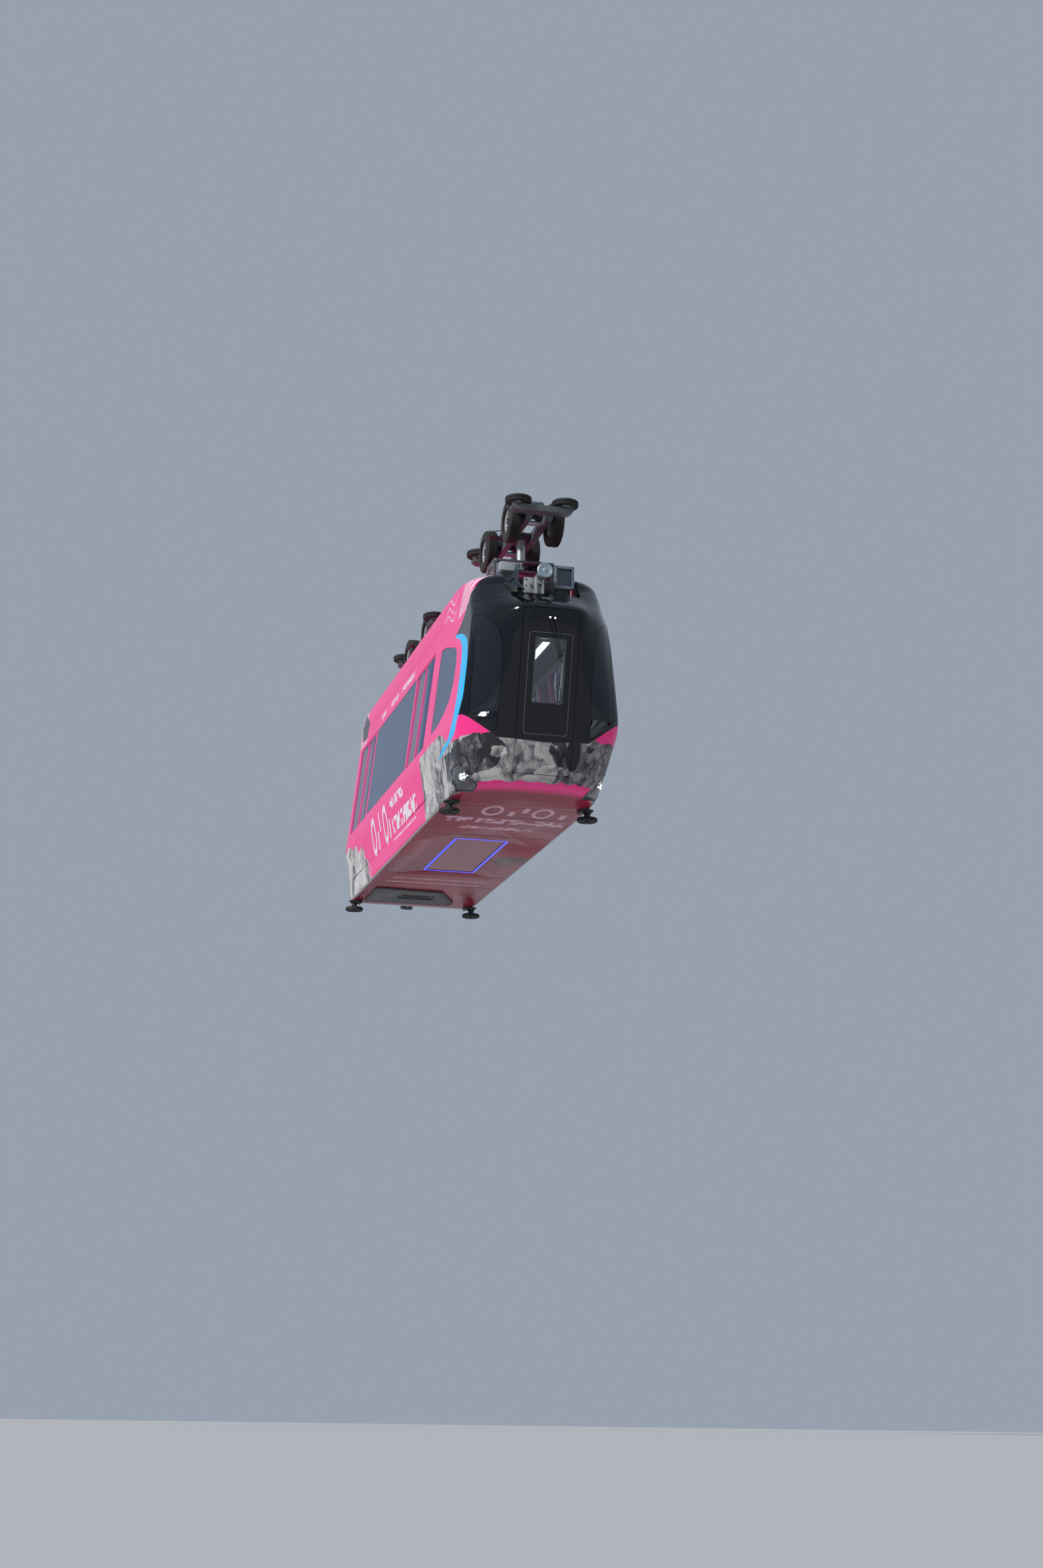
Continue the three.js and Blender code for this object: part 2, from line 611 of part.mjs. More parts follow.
const DESK_Y = [-900, -480];
add('driver_desk', sidePrism(DESK.map(([x, h]) => [x, up(h)]), ...DESK_Y), 'dark');

// Equipment on the base plate in the roof recess: rescue coupler, sensor frame, brake panel
const PLATE = [up(RECESS.h) + GAP, up(RECESS.h) + 20];
const ON_PLATE = PLATE[1] + GAP;
const HEAD = { x: 4560, h: 3385 };
const HEAD_PROFILE = [
  [0, -70],
  [70, -70],
  [118, -30],
  [118, 0],
  [104, 10],
  [60, 4],
  [0, 4],
];
const SHANK = { radius: 62, x: [3800, 4520] };
// Blocks of the coupler's support: along, across and up
const COUPLER_SUPPORTS = [
  { x: [3720, 3860], y: [-150, 150], z: [ON_PLATE, up(3500)] },
  { x: [4120, 4240], y: [-70, 70], z: [ON_PLATE, up(HEAD.h)] },
];
// Base plate, sensor frame and its foot, brake panel foot, panel and valve box
const RECESS_BLOCKS = [
  { x: [3690, 4340], y: [-545, 545], z: PLATE },
  { x: [4250, 4330], y: [205, 505], z: [up(3200), up(3560)] },
  { x: [4150, 4290], y: [250, 460], z: [PLATE[0], up(3260)] },
  { x: [3690, 3960], y: [-545, -200], z: [PLATE[0], up(3080)] },
  { x: [3700, 3740], y: [-545, -200], z: [PLATE[0], up(3720)] },
  { x: [3700, 3900], y: [-530, -300], z: [up(3560), up(3700)] },
];
const blocksOf = (table) => table.map(({ x, y, z }) => block(x, y, z));
const couplerHead = moved(lathe(HEAD_PROFILE, 28).rotateZ(-Math.PI / 2), HEAD.x, 0, up(HEAD.h));
const shank = rodX(SHANK.radius, ...SHANK.x, 0, up(HEAD.h), 20);
add('rescue_coupler', joined(couplerHead, shank, ...blocksOf(COUPLER_SUPPORTS)), 'pale');
add('recess_equipment', joined(...blocksOf(RECESS_BLOCKS)), 'dark');

// Air hose from the brake panel round to its tap, as stations along it
const HOSE = [
  [3740.6, -240, 3299],
  [3900, -240, 3300],
  [4150, -250, 3240],
  [4420, -300, 3120],
  [4560, -330, 3070],
  [4480, -380, 3180],
  [4200, -360, 3330],
  [4000, -330, 3420],
  [3860, -320, 3450],
  [3740.6, -320, 3452],
];
const HOSE_RADIUS = 14;
const hosePath = new THREE.CatmullRomCurve3(HOSE.map(([x, y, h]) => new THREE.Vector3(x, y, up(h))));
const ring = new THREE.Shape();
ring.absarc(0, 0, HOSE_RADIUS, 0, Math.PI * 2);
const hose = new THREE.ExtrudeGeometry(ring, { steps: 30, curveSegments: 4, extrudePath: hosePath });
add('air_hose', solid(hose), 'rubber');

// Hangers between the roof and the bogies: yoke on the roof, air springs, bolster and centre pin
const YOKE = { legs: [400, 480], foot: 3350, top: [-132, -100], halfX: 260, clear: 90 };
const BOLSTER = { halfX: 180, halfY: 330, z: [-262, -222] };
const AIR_SPRING = { radius: 125, y: 225 };
const CENTRE_PLATE = { halfX: 230, z: [300, 360], hole: 76 };
const RUNNING_CLEAR = 6;
const PIN = { radius: 70, cap: 103, capZ: [CENTRE_PLATE.z[1] + RUNNING_CLEAR, CENTRE_PLATE.z[1] + 60] };
const raisedRoof = outer.translate(0, 0, GAP);

for (const [place, x] of Object.entries(BOGIE_X)) {
  const reach = [x - YOKE.halfX, x + YOKE.halfX];
  const plate = block(reach, [-YOKE.legs[1], YOKE.legs[1]], YOKE.top);
  const legs = [-1, 1].map((side) => {
    const span = side < 0 ? [-YOKE.legs[1], -YOKE.legs[0]] : YOKE.legs;
    return block(reach, span, [up(YOKE.foot), YOKE.top[1]]);
  });
  const pinHole = rodZ(YOKE.clear, x, 0, BOLSTER.z[0], 0, 16);
  const springs = [-1, 1].map((side) => (
    rodZ(AIR_SPRING.radius, x, side * AIR_SPRING.y, BOLSTER.z[1] - 1, YOKE.top[0] + 1, 16)
  ));
  add(`hanger_${place}`, joined(
    cut(joined(plate, ...legs), pinHole, raisedRoof),
    block([x - BOLSTER.halfX, x + BOLSTER.halfX], [-BOLSTER.halfY, BOLSTER.halfY], BOLSTER.z),
    ...springs,
    rodZ(PIN.radius, x, 0, BOLSTER.z[0], PIN.capZ[1] - 20, 18),
    rodZ(PIN.cap, x, 0, ...PIN.capZ, 18),
  ), 'steel');
}

// Bogies inside the beam: frame with motors, two wheelsets and four guide wheels each
const FRAME = { length: 1400, beam: [110, 205], z: [250, 400], endX: 1200, endY: 470, endZ: [300, 400] };
const WHEEL = { base: 750, radius: 330, face: [235, 425], axle: 40, bearing: 47 };
const GUIDE = { x: 1300, y: 360, radius: 200, z: [420, 520], bore: 32, pin: 26, cap: 50, foot: 350 };
const MOTOR = { x: [560, 940], halfY: 150, z: [FRAME.z[1] - 5, 680] };
const COLLECTOR = { arm: 60, armZ: [300, 350], shoe: 200, y: [-545, -520], z: [280, 370] };
const BEARING_REACH = 300;

// A tyre's outline on its rim: radius, then distance across from its middle
const TYRE_PROFILE = [
  [0, -62],
  [192, -62],
  [192, -95],
  [305, -95],
  [330, -64],
  [330, 64],
  [305, 95],
  [192, 95],
  [192, 62],
  [0, 62],
];

function wheelset(x) {
  const middle = (WHEEL.face[0] + WHEEL.face[1]) / 2;
  const tyre = lathe(TYRE_PROFILE, 20);
  return joined(
    rodY(WHEEL.axle, x, -middle, middle, WHEEL.radius, 12),
    moved(tyre, x, middle, WHEEL.radius),
    moved(tyre, x, -middle, WHEEL.radius),
  );
}

// A wheel about a standing pin: radius and height pairs from the bore out and back
function standingWheel(x, y, [z0, z1], radius, bore, sides = 20) {
  const edge = (z1 - z0) * 0.22;
  const profile = [
    [bore, z0],
    [radius - edge, z0],
    [radius, z0 + edge],
    [radius, z1 - edge],
    [radius - edge, z1],
    [bore, z1],
    [bore, z0],
  ];
  return moved(lathe(profile, sides).rotateX(Math.PI / 2), x, y, 0);
}

const ENDS = { fore: 1, aft: -1 };
for (const [place, x] of Object.entries(BOGIE_X)) {
  const pieces = [];
  for (const side of [-1, 1]) {
    const span = side < 0 ? FRAME.beam.map((y) => -y).reverse() : FRAME.beam;
    pieces.push(block([x - FRAME.length, x + FRAME.length], span, FRAME.z));
  }
  const plateY = [-FRAME.beam[1], FRAME.beam[1]];
  pieces.push(block([x - CENTRE_PLATE.halfX, x + CENTRE_PLATE.halfX], plateY, CENTRE_PLATE.z));
  for (const end of [-1, 1]) {
    const span = (a, b) => (end < 0 ? [x - b, x - a] : [x + a, x + b]);
    pieces.push(block(span(FRAME.endX, FRAME.length), [-FRAME.endY, FRAME.endY], FRAME.endZ));
    pieces.push(block(span(...MOTOR.x), [-MOTOR.halfY, MOTOR.halfY], MOTOR.z));
    for (const y of [-GUIDE.y, GUIDE.y]) {
      const px = x + end * GUIDE.x;
      pieces.push(rodZ(GUIDE.pin, px, y, GUIDE.foot, GUIDE.z[1] + 20, 8));
      pieces.push(rodZ(GUIDE.cap, px, y, GUIDE.z[1] + 8, GUIDE.z[1] + 24, 12));
    }
  }
  const armY = [COLLECTOR.y[1], -FRAME.beam[0]];
  pieces.push(block([x - COLLECTOR.arm, x + COLLECTOR.arm], armY, COLLECTOR.armZ));
  pieces.push(block([x - COLLECTOR.shoe, x + COLLECTOR.shoe], COLLECTOR.y, COLLECTOR.z));
  const bearings = [-1, 1].map((end) => (
    rodY(WHEEL.bearing, x + end * WHEEL.base, -BEARING_REACH, BEARING_REACH, WHEEL.radius, 12)
  ));
  const pivot = rodZ(CENTRE_PLATE.hole, x, 0, FRAME.z[0] - 50, FRAME.z[1] + 20, 18);
  add(`bogie_frame_${place}`, cut(joined(...pieces), ...bearings, pivot), 'steel');
  for (const [end, sign] of Object.entries(ENDS)) {
    add(`wheelset_${place}_${end}`, wheelset(x + sign * WHEEL.base), 'rubber');
    for (const [name, side] of Object.entries(SIDES)) {
      const wheel = standingWheel(x + sign * GUIDE.x, side * GUIDE.y, GUIDE.z, GUIDE.radius, GUIDE.bore);
      add(`guide_wheel_${place}_${end}_${name}`, wheel, 'rubber');
    }
  }
}

// Station guide rollers under the four corners
for (const [place, x] of Object.entries(ROLLERS.x)) {
  for (const [name, side] of Object.entries(SIDES)) {
    const heights = [up(-ROLLERS.half), up(ROLLERS.half)];
    const roller = standingWheel(x, side * ROLLERS.y, heights, ROLLERS.radius, ROLLERS.bore);
    add(`station_roller_${place}_${name}`, roller, 'rubber');
  }
}

const group = new THREE.Group();
group.add(...nodes);
export default group;
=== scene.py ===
import math

import bmesh
import bpy
import numpy as np
from mathutils import Matrix, Vector, bvhtree


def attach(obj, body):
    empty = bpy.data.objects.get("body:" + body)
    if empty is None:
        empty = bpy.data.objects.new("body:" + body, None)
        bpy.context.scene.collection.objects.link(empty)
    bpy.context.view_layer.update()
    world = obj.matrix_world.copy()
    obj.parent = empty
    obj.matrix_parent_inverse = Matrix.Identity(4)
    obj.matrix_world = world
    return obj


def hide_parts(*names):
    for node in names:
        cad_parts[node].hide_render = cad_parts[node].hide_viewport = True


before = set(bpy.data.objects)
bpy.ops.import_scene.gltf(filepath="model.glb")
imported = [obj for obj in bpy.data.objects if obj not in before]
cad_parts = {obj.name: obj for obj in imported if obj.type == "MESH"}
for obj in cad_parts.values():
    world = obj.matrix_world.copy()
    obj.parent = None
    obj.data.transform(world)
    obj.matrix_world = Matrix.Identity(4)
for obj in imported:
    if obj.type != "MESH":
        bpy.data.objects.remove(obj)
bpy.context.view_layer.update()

# Heights are given from the mid-plane of the station guide rollers
ROLLER_PLANE = -4.06
REAR_END = -5.0
UNDERSIDE = 0.148
THRESHOLD = 0.490
SILL = 1.330
DOOR_SILL = 1.310
BAND_TOP = 2.850
ROOF_SEAM = 3.180
NOSE_SEAM = 2.960
SHELL_TOP = 1.1555
FAIRING_SEAM = 3.560
ABOVE_ROOF = 3.900
END_WALL_FACE = -4.930
DOORWAYS = {"front": (0.260, 1.670), "rear": (-4.710, -3.260)}
SIDE_WINDOW = (-3.200, 0.190)
FLOOR_WINDOW = {"x": (-1.865, 0.680), "y": 0.435}
SKIN = 0.045
GLASS = 0.008

SIDES = {"right": -1, "left": 1}
BODY = "car_body"
DOOR = "emergency_door"


def up(height):
    return ROLLER_PLANE + height


# Camera: at the photograph's viewpoint, below and ahead of the car on its right side
CAMERA_PLACE = Vector((39.8075, -8.8889, -12.9067))
CAMERA_RIGHT = Vector((0.23938, 0.97084, 0.01297))
CAMERA_DOWN = Vector((-0.22992, 0.06966, -0.97071))
CAMERA_VIEW = Vector((-0.94331, 0.22939, 0.23989))
CAMERA_LENS = 59.577
EYE_ABOVE_FLOOR = 0.05


def set_camera():
    data = bpy.data.cameras.new("camera")
    data.sensor_fit = "AUTO"
    data.sensor_width = 36
    data.lens = CAMERA_LENS
    data.clip_end = 400
    camera = bpy.data.objects.new("camera", data)
    bpy.context.scene.collection.objects.link(camera)
    turn = Matrix((CAMERA_RIGHT, -CAMERA_DOWN, -CAMERA_VIEW)).transposed().to_4x4()
    camera.matrix_world = Matrix.Translation(CAMERA_PLACE) @ turn
    bpy.context.scene.camera = camera


set_camera()


# Small helpers for node trees
def new_material(name):
    material = bpy.data.materials.new(name)
    material.use_nodes = True
    nodes = material.node_tree.nodes
    return material, nodes, material.node_tree.links, nodes["Principled BSDF"]


def set_inputs(node, **values):
    """Sets a node's inputs by their names, with a low line for each space."""
    for name, value in values.items():
        node.inputs[name.replace("_", " ")].default_value = value


def group_node(nodes, group, **values):
    node = nodes.new("ShaderNodeGroup")
    node.node_tree = group
    set_inputs(node, **values)
    return node


def new_group(name, inputs, outputs):
    tree = bpy.data.node_groups.new(name, "ShaderNodeTree")
    for label, kind, value in inputs:
        socket = tree.interface.new_socket(label, in_out="INPUT", socket_type=kind)
        socket.default_value = value
    for label, kind in outputs:
        tree.interface.new_socket(label, in_out="OUTPUT", socket_type=kind)
    return tree, tree.nodes.new("NodeGroupInput"), tree.nodes.new("NodeGroupOutput")


COLOR = "NodeSocketColor"
FLOAT = "NodeSocketFloat"


class Tree:
    """Adds nodes to one tree with short calls."""

    def __init__(self, tree):
        self.nodes = tree.nodes
        self.links = tree.links

    def put(self, kind, outlet, *links, **settings):
        node = self.nodes.new(kind)
        for key, value in settings.items():
            setattr(node, key, value)
        for socket, source in links:
            if hasattr(source, "is_output"):
                self.links.new(source, node.inputs[socket])
            else:
                node.inputs[socket].default_value = source
        return node.outputs[outlet]

    def math(self, operation, a, b=0.0, c=0.0):
        return self.put("ShaderNodeMath", 0, (0, a), (1, b), (2, c), operation=operation)

    def times(self, a, b):
        return self.math("MULTIPLY", a, b)

    def minus(self, a, b):
        return self.math("SUBTRACT", a, b)

    def times_plus(self, a, b, c):
        return self.math("MULTIPLY_ADD", a, b, c)

    def object_place(self):
        return self.put("ShaderNodeTexCoord", "Object")

    def scaled(self, vector, scale, offset=(0, 0, 0)):
        return self.put("ShaderNodeMapping", 0, (0, vector), ("Scale", scale), ("Location", offset))

    def noise(self, vector, scale, detail=4.0, rough=0.55, twist=0.0):
        return self.put(
            "ShaderNodeTexNoise", "Fac", ("Vector", vector), ("Scale", scale),
            ("Detail", detail), ("Roughness", rough), ("Distortion", twist),
        )

    def remap(self, value, low, high, out_low=0.0, out_high=1.0):
        return self.put(
            "ShaderNodeMapRange", 0, (0, value), (1, low), (2, high), (3, out_low), (4, out_high)
        )

    def mix(self, factor, a, b):
        return self.put("ShaderNodeMix", 2, (0, factor), (6, a), (7, b), data_type="RGBA")

    def ramp(self, value, stops):
        node = self.nodes.new("ShaderNodeValToRGB")
        elements = node.color_ramp.elements
        while len(elements) < len(stops):
            elements.new(0.5)
        for element, (place, color) in zip(elements, stops):
            element.position = place
            element.color = color
        self.links.new(value, node.inputs[0])
        return node.outputs[0]


def srgb(red, green, blue):
    def linear(c):
        c /= 255
        return c / 12.92 if c <= 0.04045 else ((c + 0.055) / 1.055) ** 2.4
    return (linear(red), linear(green), linear(blue), 1.0)


# Shared surface effects
def make_weathering():
    """Road film and dust: patches that dull and darken a finish, and streaks that run down it."""
    tree, inlet, outlet = new_group(
        "weathering",
        [("Color", COLOR, (0.5, 0.5, 0.5, 1)), ("Roughness", FLOAT, 0.3), ("Dirt", FLOAT, 0.2),
         ("Scale", FLOAT, 1.0), ("Dust Color", COLOR, srgb(120, 112, 104))],
        [("Color", COLOR), ("Roughness", FLOAT), ("Height", FLOAT)],
    )
    t = Tree(tree)
    place = t.object_place()
    patches = t.noise(place, 2.3, 5, 0.6)
    streaks = t.noise(t.scaled(place, (9, 9, 0.7)), 1.0, 5, 0.6)
    fine = t.noise(place, 160, 3, 0.5)
    film = t.times(t.remap(patches, 0.42, 0.72), t.remap(streaks, 0.35, 0.75))
    amount = t.times(film, inlet.outputs["Dirt"])
    color = t.mix(amount, inlet.outputs["Color"], inlet.outputs["Dust Color"])
    rough = t.times_plus(amount, 0.5, inlet.outputs["Roughness"])
    rough = t.times_plus(t.minus(fine, 0.5), 0.08, rough)
    t.links.new(color, outlet.inputs["Color"])
    t.links.new(rough, outlet.inputs["Roughness"])
    t.links.new(t.times_plus(fine, 0.3, t.times(patches, 0.7)), outlet.inputs["Height"])
    return tree


WEATHERING = make_weathering()


def finish(name, color, roughness, metallic=0.0, dirt=0.2, bump=0.1, coat=0.0, specular=0.5):
    """A painted, moulded or metal finish with film, fine bump and an optional clear coat."""
    material, nodes, links, shader = new_material(name)
    film = group_node(nodes, WEATHERING, Color=color, Roughness=roughness, Dirt=dirt)
    bump_node = nodes.new("ShaderNodeBump")
    set_inputs(bump_node, Strength=bump, Distance=0.001)
    links.new(film.outputs["Color"], shader.inputs["Base Color"])
    links.new(film.outputs["Roughness"], shader.inputs["Roughness"])
    links.new(film.outputs["Height"], bump_node.inputs["Height"])
    links.new(bump_node.outputs[0], shader.inputs["Normal"])
    set_inputs(shader, Metallic=metallic, Coat_Weight=coat, Coat_Roughness=0.04,
               Specular_IOR_Level=specular)
    return material


def glass(name, color, transmission, roughness=0.03, metallic=0.0, specular=0.5):
    material, _, links, shader = new_material(name)
    t = Tree(material.node_tree)
    tone = t.noise(t.scaled(t.object_place(), (2.2, 1, 0.12)), 1.6, 2, 0.4)
    darker = tuple(c * 0.82 for c in color[:3]) + (1.0,)
    links.new(t.mix(t.remap(tone, 0.35, 0.65), darker, color), shader.inputs["Base Color"])
    set_inputs(shader, Roughness=roughness, Metallic=metallic, Transmission_Weight=transmission, IOR=1.5,
               Specular_IOR_Level=specular)
    return material


def glow(name, color, strength):
    material, _, links, shader = new_material(name)
    t = Tree(material.node_tree)
    uneven = t.noise(t.object_place(), 14, 2, 0.4)
    dim = tuple(c * 0.8 for c in color[:3]) + (1.0,)
    links.new(t.mix(uneven, dim, color), shader.inputs["Emission Color"])
    set_inputs(shader, Emission_Strength=strength, Base_Color=color, Roughness=0.4)
    return material


# Finishes
PINK_PAINT = srgb(252, 54, 138)
PINK_PAINT_DEEP = srgb(255, 66, 150)
# Painted shade: the pink darkened to wine for the underside, as it looks in shade, in two random tones
SHADE_PINK_BELOW = srgb(160, 42, 66)
SHADE_PINK_BELOW_DEEP = srgb(134, 36, 58)
STONE_LIGHT = srgb(214, 208, 203)
STONE_DARK = srgb(44, 42, 46)
WHITE_INK = srgb(240, 226, 232)


class Zones(Tree):
    """Masks in the car's own coordinates: x forward, side is the distance from the middle plane."""

    def __init__(self, tree):
        super().__init__(tree)
        self.place = self.object_place()
        axes = self.put("ShaderNodeSeparateXYZ", 0, (0, self.place)).node
        self.x, self.y = axes.outputs[0], axes.outputs[1]
        self.side = self.math("ABSOLUTE", self.y)
        self.height = self.minus(axes.outputs[2], ROLLER_PLANE)

    def over(self, value, limit, soft=0.002):
        return self.remap(self.minus(value, limit), -soft, soft)

    def both(self, *masks):
        result = masks[0]
        for mask in masks[1:]:
            result = self.times(result, mask)
        return result

    def either(self, *masks):
        result = masks[0]
        for mask in masks[1:]:
            result = self.math("MAXIMUM", result, mask)
        return result

    def window(self, a, a_span, b, b_span):
        (a0, a1), (b0, b1) = a_span, b_span
        return self.both(self.over(a, a0), self.over(a1, a), self.over(b, b0), self.over(b1, b))

    def distance(self, a, a0, b, b0):
        da, db = self.minus(a, a0), self.minus(b, b0)
        return self.math("SQRT", self.math("ADD", self.times(da, da), self.times(db, db)))

    def ring(self, a, a0, b, b0, radius, width):
        off = self.math("ABSOLUTE", self.minus(self.distance(a, a0, b, b0), radius))
        return self.over(width / 2, off)

    def marks(self, along, across, size):
        """Rows of small blocks that read as lines of print from a distance but spell nothing."""
        place = self.put("ShaderNodeCombineXYZ", 0, (0, along), (1, across))
        cells = self.put("ShaderNodeTexVoronoi", "Color", ("Vector", place), ("Scale", 1 / size),
                         ("Randomness", 0.35), distance="CHEBYCHEV")
        return self.over(self.put("ShaderNodeSeparateColor", 0, (0, cells)), 0.38)


def printed_stone(z, inside):
    """Grey printed rock: faceted blocks of different tones with fine streaks, two of them almost black."""
    sway = z.put("ShaderNodeTexNoise", "Color", ("Vector", z.place), ("Scale", 1.7), ("Detail", 3))
    bent = z.put("ShaderNodeVectorMath", 0, (0, z.place), (1, sway), operation="ADD")
    blocks = z.scaled(bent, (1.9, 2.3, 1.5))
    tone = z.put("ShaderNodeTexVoronoi", "Color", ("Vector", blocks), ("Scale", 1.5), ("Randomness", 1.0))
    tone = z.put("ShaderNodeSeparateColor", 0, (0, tone))
    facet = z.put("ShaderNodeTexVoronoi", "Distance", ("Vector", blocks), ("Scale", 3.4), feature="SMOOTH_F1")
    streaks = z.noise(z.scaled(bent, (14, 14, 3.2)), 2.2, 7, 0.7)
    folds = z.noise(z.scaled(bent, (1.6, 2.4, 0.8)), 3.0, 6, 0.6)
    value = z.times_plus(tone, 0.42, z.times(folds, 0.66))
    value = z.times_plus(z.minus(streaks, 0.5), 0.42, value)
    value = z.times_plus(z.minus(facet, 0.4), -0.30, value)
    by_lamp = z.distance(z.times(z.y, 0.8), -0.74, z.height, 0.60)
    by_middle = z.distance(z.times(z.y, 2.0), 0.90, z.height, 0.62)
    dark = z.both(z.over(z.x, 3.2), z.either(inside(z.minus(0.27, by_lamp), 0.22),
                                             inside(z.minus(0.22, by_middle), 0.22)))
    # Painted shade: the rock print is made darker towards the left side, which faces away from the sun
    shade = z.remap(z.y, -1.0, 1.1, -0.07, 0.12)
    value = z.minus(z.times_plus(dark, -0.30, value), shade)
    return z.ramp(value, [
        (0.25, STONE_DARK), (0.38, srgb(84, 80, 84)), (0.49, srgb(142, 136, 136)),
        (0.62, srgb(186, 180, 176)), (0.78, STONE_LIGHT),
    ])


def white_marks(z):
    """White bars, rings, waves and rows of small blocks, for the sides and for the underside."""
    on_side = z.both(z.over(z.side, 0.80), z.over(z.height, 0.30))
    below = z.over(0.170, z.height)
    flat = z.times(z.height, 0.55)
    rings = [z.ring(z.x, x0, flat, 0.43, 0.15, 0.062) for x0 in (-2.42, -1.42)]
    bars = [z.window(z.x, (x0, x0 + 0.075), z.height, heights)
            for x0, heights in ((-2.10, (0.48, 0.80)), (-1.90, (0.76, 1.08)), (-1.14, (0.48, 0.80)))]
    lines = [
        z.both(z.window(z.x, span, z.height, heights), z.marks(z.x, z.height, size))
        for span, heights, size in (
            ((-0.90, 0.15), (0.92, 1.08), 0.070), ((-0.90, 1.00), (0.50, 0.76), 0.090),
            ((-0.90, 0.90), (0.38, 0.42), 0.016), ((-2.95, -2.50), (2.975, 3.075), 0.028),
            ((-2.10, -1.45), (2.975, 3.075), 0.028), ((-1.15, -0.10), (2.975, 3.075), 0.028),
        )
    ]
    fan = z.distance(z.x, 4.75, z.height, 2.45)
    sweep = z.math("FRACT", z.times(fan, 8.5))
    fan_band = z.both(z.over(fan, 0.92), z.over(1.62, fan), z.over(z.height, 2.94), z.over(sweep, 0.48, 0.03))
    wave = z.times_plus(z.math("SINE", z.times(z.x, 8.5)), 0.085, 3.14)
    waves = [z.both(z.over(0.011, z.math("ABSOLUTE", z.minus(z.height, z.math("ADD", wave, lift)))),
                    z.over(z.x, start), z.over(end, z.x))
             for lift, start, end in ((0.0, 2.25, 3.05), (0.13, 2.10, 2.85), (0.26, 2.35, 3.00))]
    rear_fan = z.distance(z.x, -5.60, z.height, 2.85)
    rear_sweep = z.math("FRACT", z.times(rear_fan, 11.0))
    rear_band = z.both(z.over(rear_fan, 0.66), z.over(1.30, rear_fan), z.over(z.height, 2.93),
                       z.over(rear_sweep, 0.52, 0.03))
    on_roof = z.both(z.over(z.side, 0.50), z.over(z.height, 2.9))
    side_marks = z.either(z.both(on_side, z.either(*rings, *bars, *lines)),
                          z.both(on_roof, z.either(fan_band, rear_band, *waves)))
    short = z.times(z.x, 0.5)
    under_rings = [z.ring(short, 1.34, z.y, y0, 0.135, 0.05) for y0 in (-0.30, 0.48)]
    under_bars = [z.window(z.x, span, z.y, (y0, y0 + 0.08))
                  for y0, span in ((-0.02, (2.40, 2.68)), (0.15, (2.66, 2.96)), (0.78, (2.40, 2.68)))]
    under_lines = [
        z.both(z.window(z.x, span, z.y, across), z.marks(z.y, z.x, size))
        for span, across, size in (
            ((1.86, 2.16), (-0.90, 0.98), 0.075), ((1.42, 1.60), (-0.55, 0.60), 0.050),
            ((-2.62, -2.55), (-0.80, 0.80), 0.018), ((-2.95, -2.88), (-0.85, 0.75), 0.018),
        )
    ]
    ripple = z.distance(z.x, -0.35, z.y, -1.05)
    spokes = z.math("ARCTAN2", z.math("ADD", z.y, 1.05), z.math("ADD", z.x, 0.35))
    dots = z.both(z.over(z.math("FRACT", z.times(ripple, 12)), 0.80, 0.02),
                  z.over(z.math("FRACT", z.times(spokes, 14)), 0.45, 0.03),
                  z.over(ripple, 0.42), z.over(1.55, ripple), z.over(z.noise(z.place, 1.3, 2), 0.47, 0.02))
    under_marks = z.both(below, z.either(*under_rings, *under_bars, *under_lines, z.times(dots, 0.4)))
    return side_marks, under_marks


def make_livery_paint(name, coat, specular):
    """Pink paint with printed rock at the nose and the rear corners, and painted shade below: wine-dark
    there, with a painted shadow.
    """
    material, nodes, links, shader = new_material(name)
    z = Zones(material.node_tree)
    edge = z.minus(z.noise(z.place, 3.2, 7, 0.66, 0.3), 0.5)

    def inside(distance, wobble):
        return z.remap(z.times_plus(edge, wobble, distance), -0.003, 0.003)

    top = z.remap(z.x, 2.95, 3.75, 1.19, 0.86)
    bottom = z.times(z.over(1.0, z.side, 0.02), 0.235)
    band = z.both(inside(z.minus(z.x, 1.56), 0.34), inside(z.minus(top, z.height), 0.22),
                  inside(z.minus(z.height, bottom), 0.16))
    corner = z.distance(z.times(z.x, 0.42), -2.1, z.height, 0.20)
    patch = inside(z.minus(0.84, corner), 0.5)
    tint = z.mix(z.remap(z.noise(z.place, 0.8, 3), 0.3, 0.7), PINK_PAINT, PINK_PAINT_DEEP)
    side_marks, under_marks = white_marks(z)
    color = z.mix(side_marks, tint, WHITE_INK)
    color = z.mix(z.either(band, patch), color, printed_stone(z, inside))
    # Painted shadow: a soft dark patch on the underside round x -0.75 on the left side, mixed into the shaded
    # pink
    shadow = z.distance(z.x, -0.75, z.y, 0.84)
    painted_shadow = z.times(inside(z.minus(0.34, shadow), 0.55), 0.75)
    # Painted shade: below 0.185 the lit pink is replaced by this darker wine pink
    wine = z.mix(z.remap(z.noise(z.place, 0.9, 4), 0.3, 0.7), SHADE_PINK_BELOW, SHADE_PINK_BELOW_DEEP)
    wine = z.mix(painted_shadow, wine, srgb(70, 56, 62))
    wine = z.mix(z.times(under_marks, 0.75), wine, srgb(232, 182, 202))
    # Painted shade: the mask for the underside that gets the shaded wine pink
    below = z.over(0.185, z.height, 0.012)
    color = z.mix(below, color, wine)
    set_inputs(shader, Coat_Weight=coat, Specular_IOR_Level=specular)
    film = group_node(nodes, WEATHERING, Roughness=0.22, Dirt=0.12)
    links.new(color, film.inputs["Color"])
    links.new(film.outputs["Color"], shader.inputs["Base Color"])
    links.new(film.outputs["Roughness"], shader.inputs["Roughness"])
    peel = z.put("ShaderNodeBump", 0, ("Strength", 0.06), ("Distance", 0.002),
                 ("Height", z.noise(z.place, 55, 2)))
    links.new(peel, shader.inputs["Normal"])
    shader.inputs["Coat Roughness"].default_value = 0.05
    return material


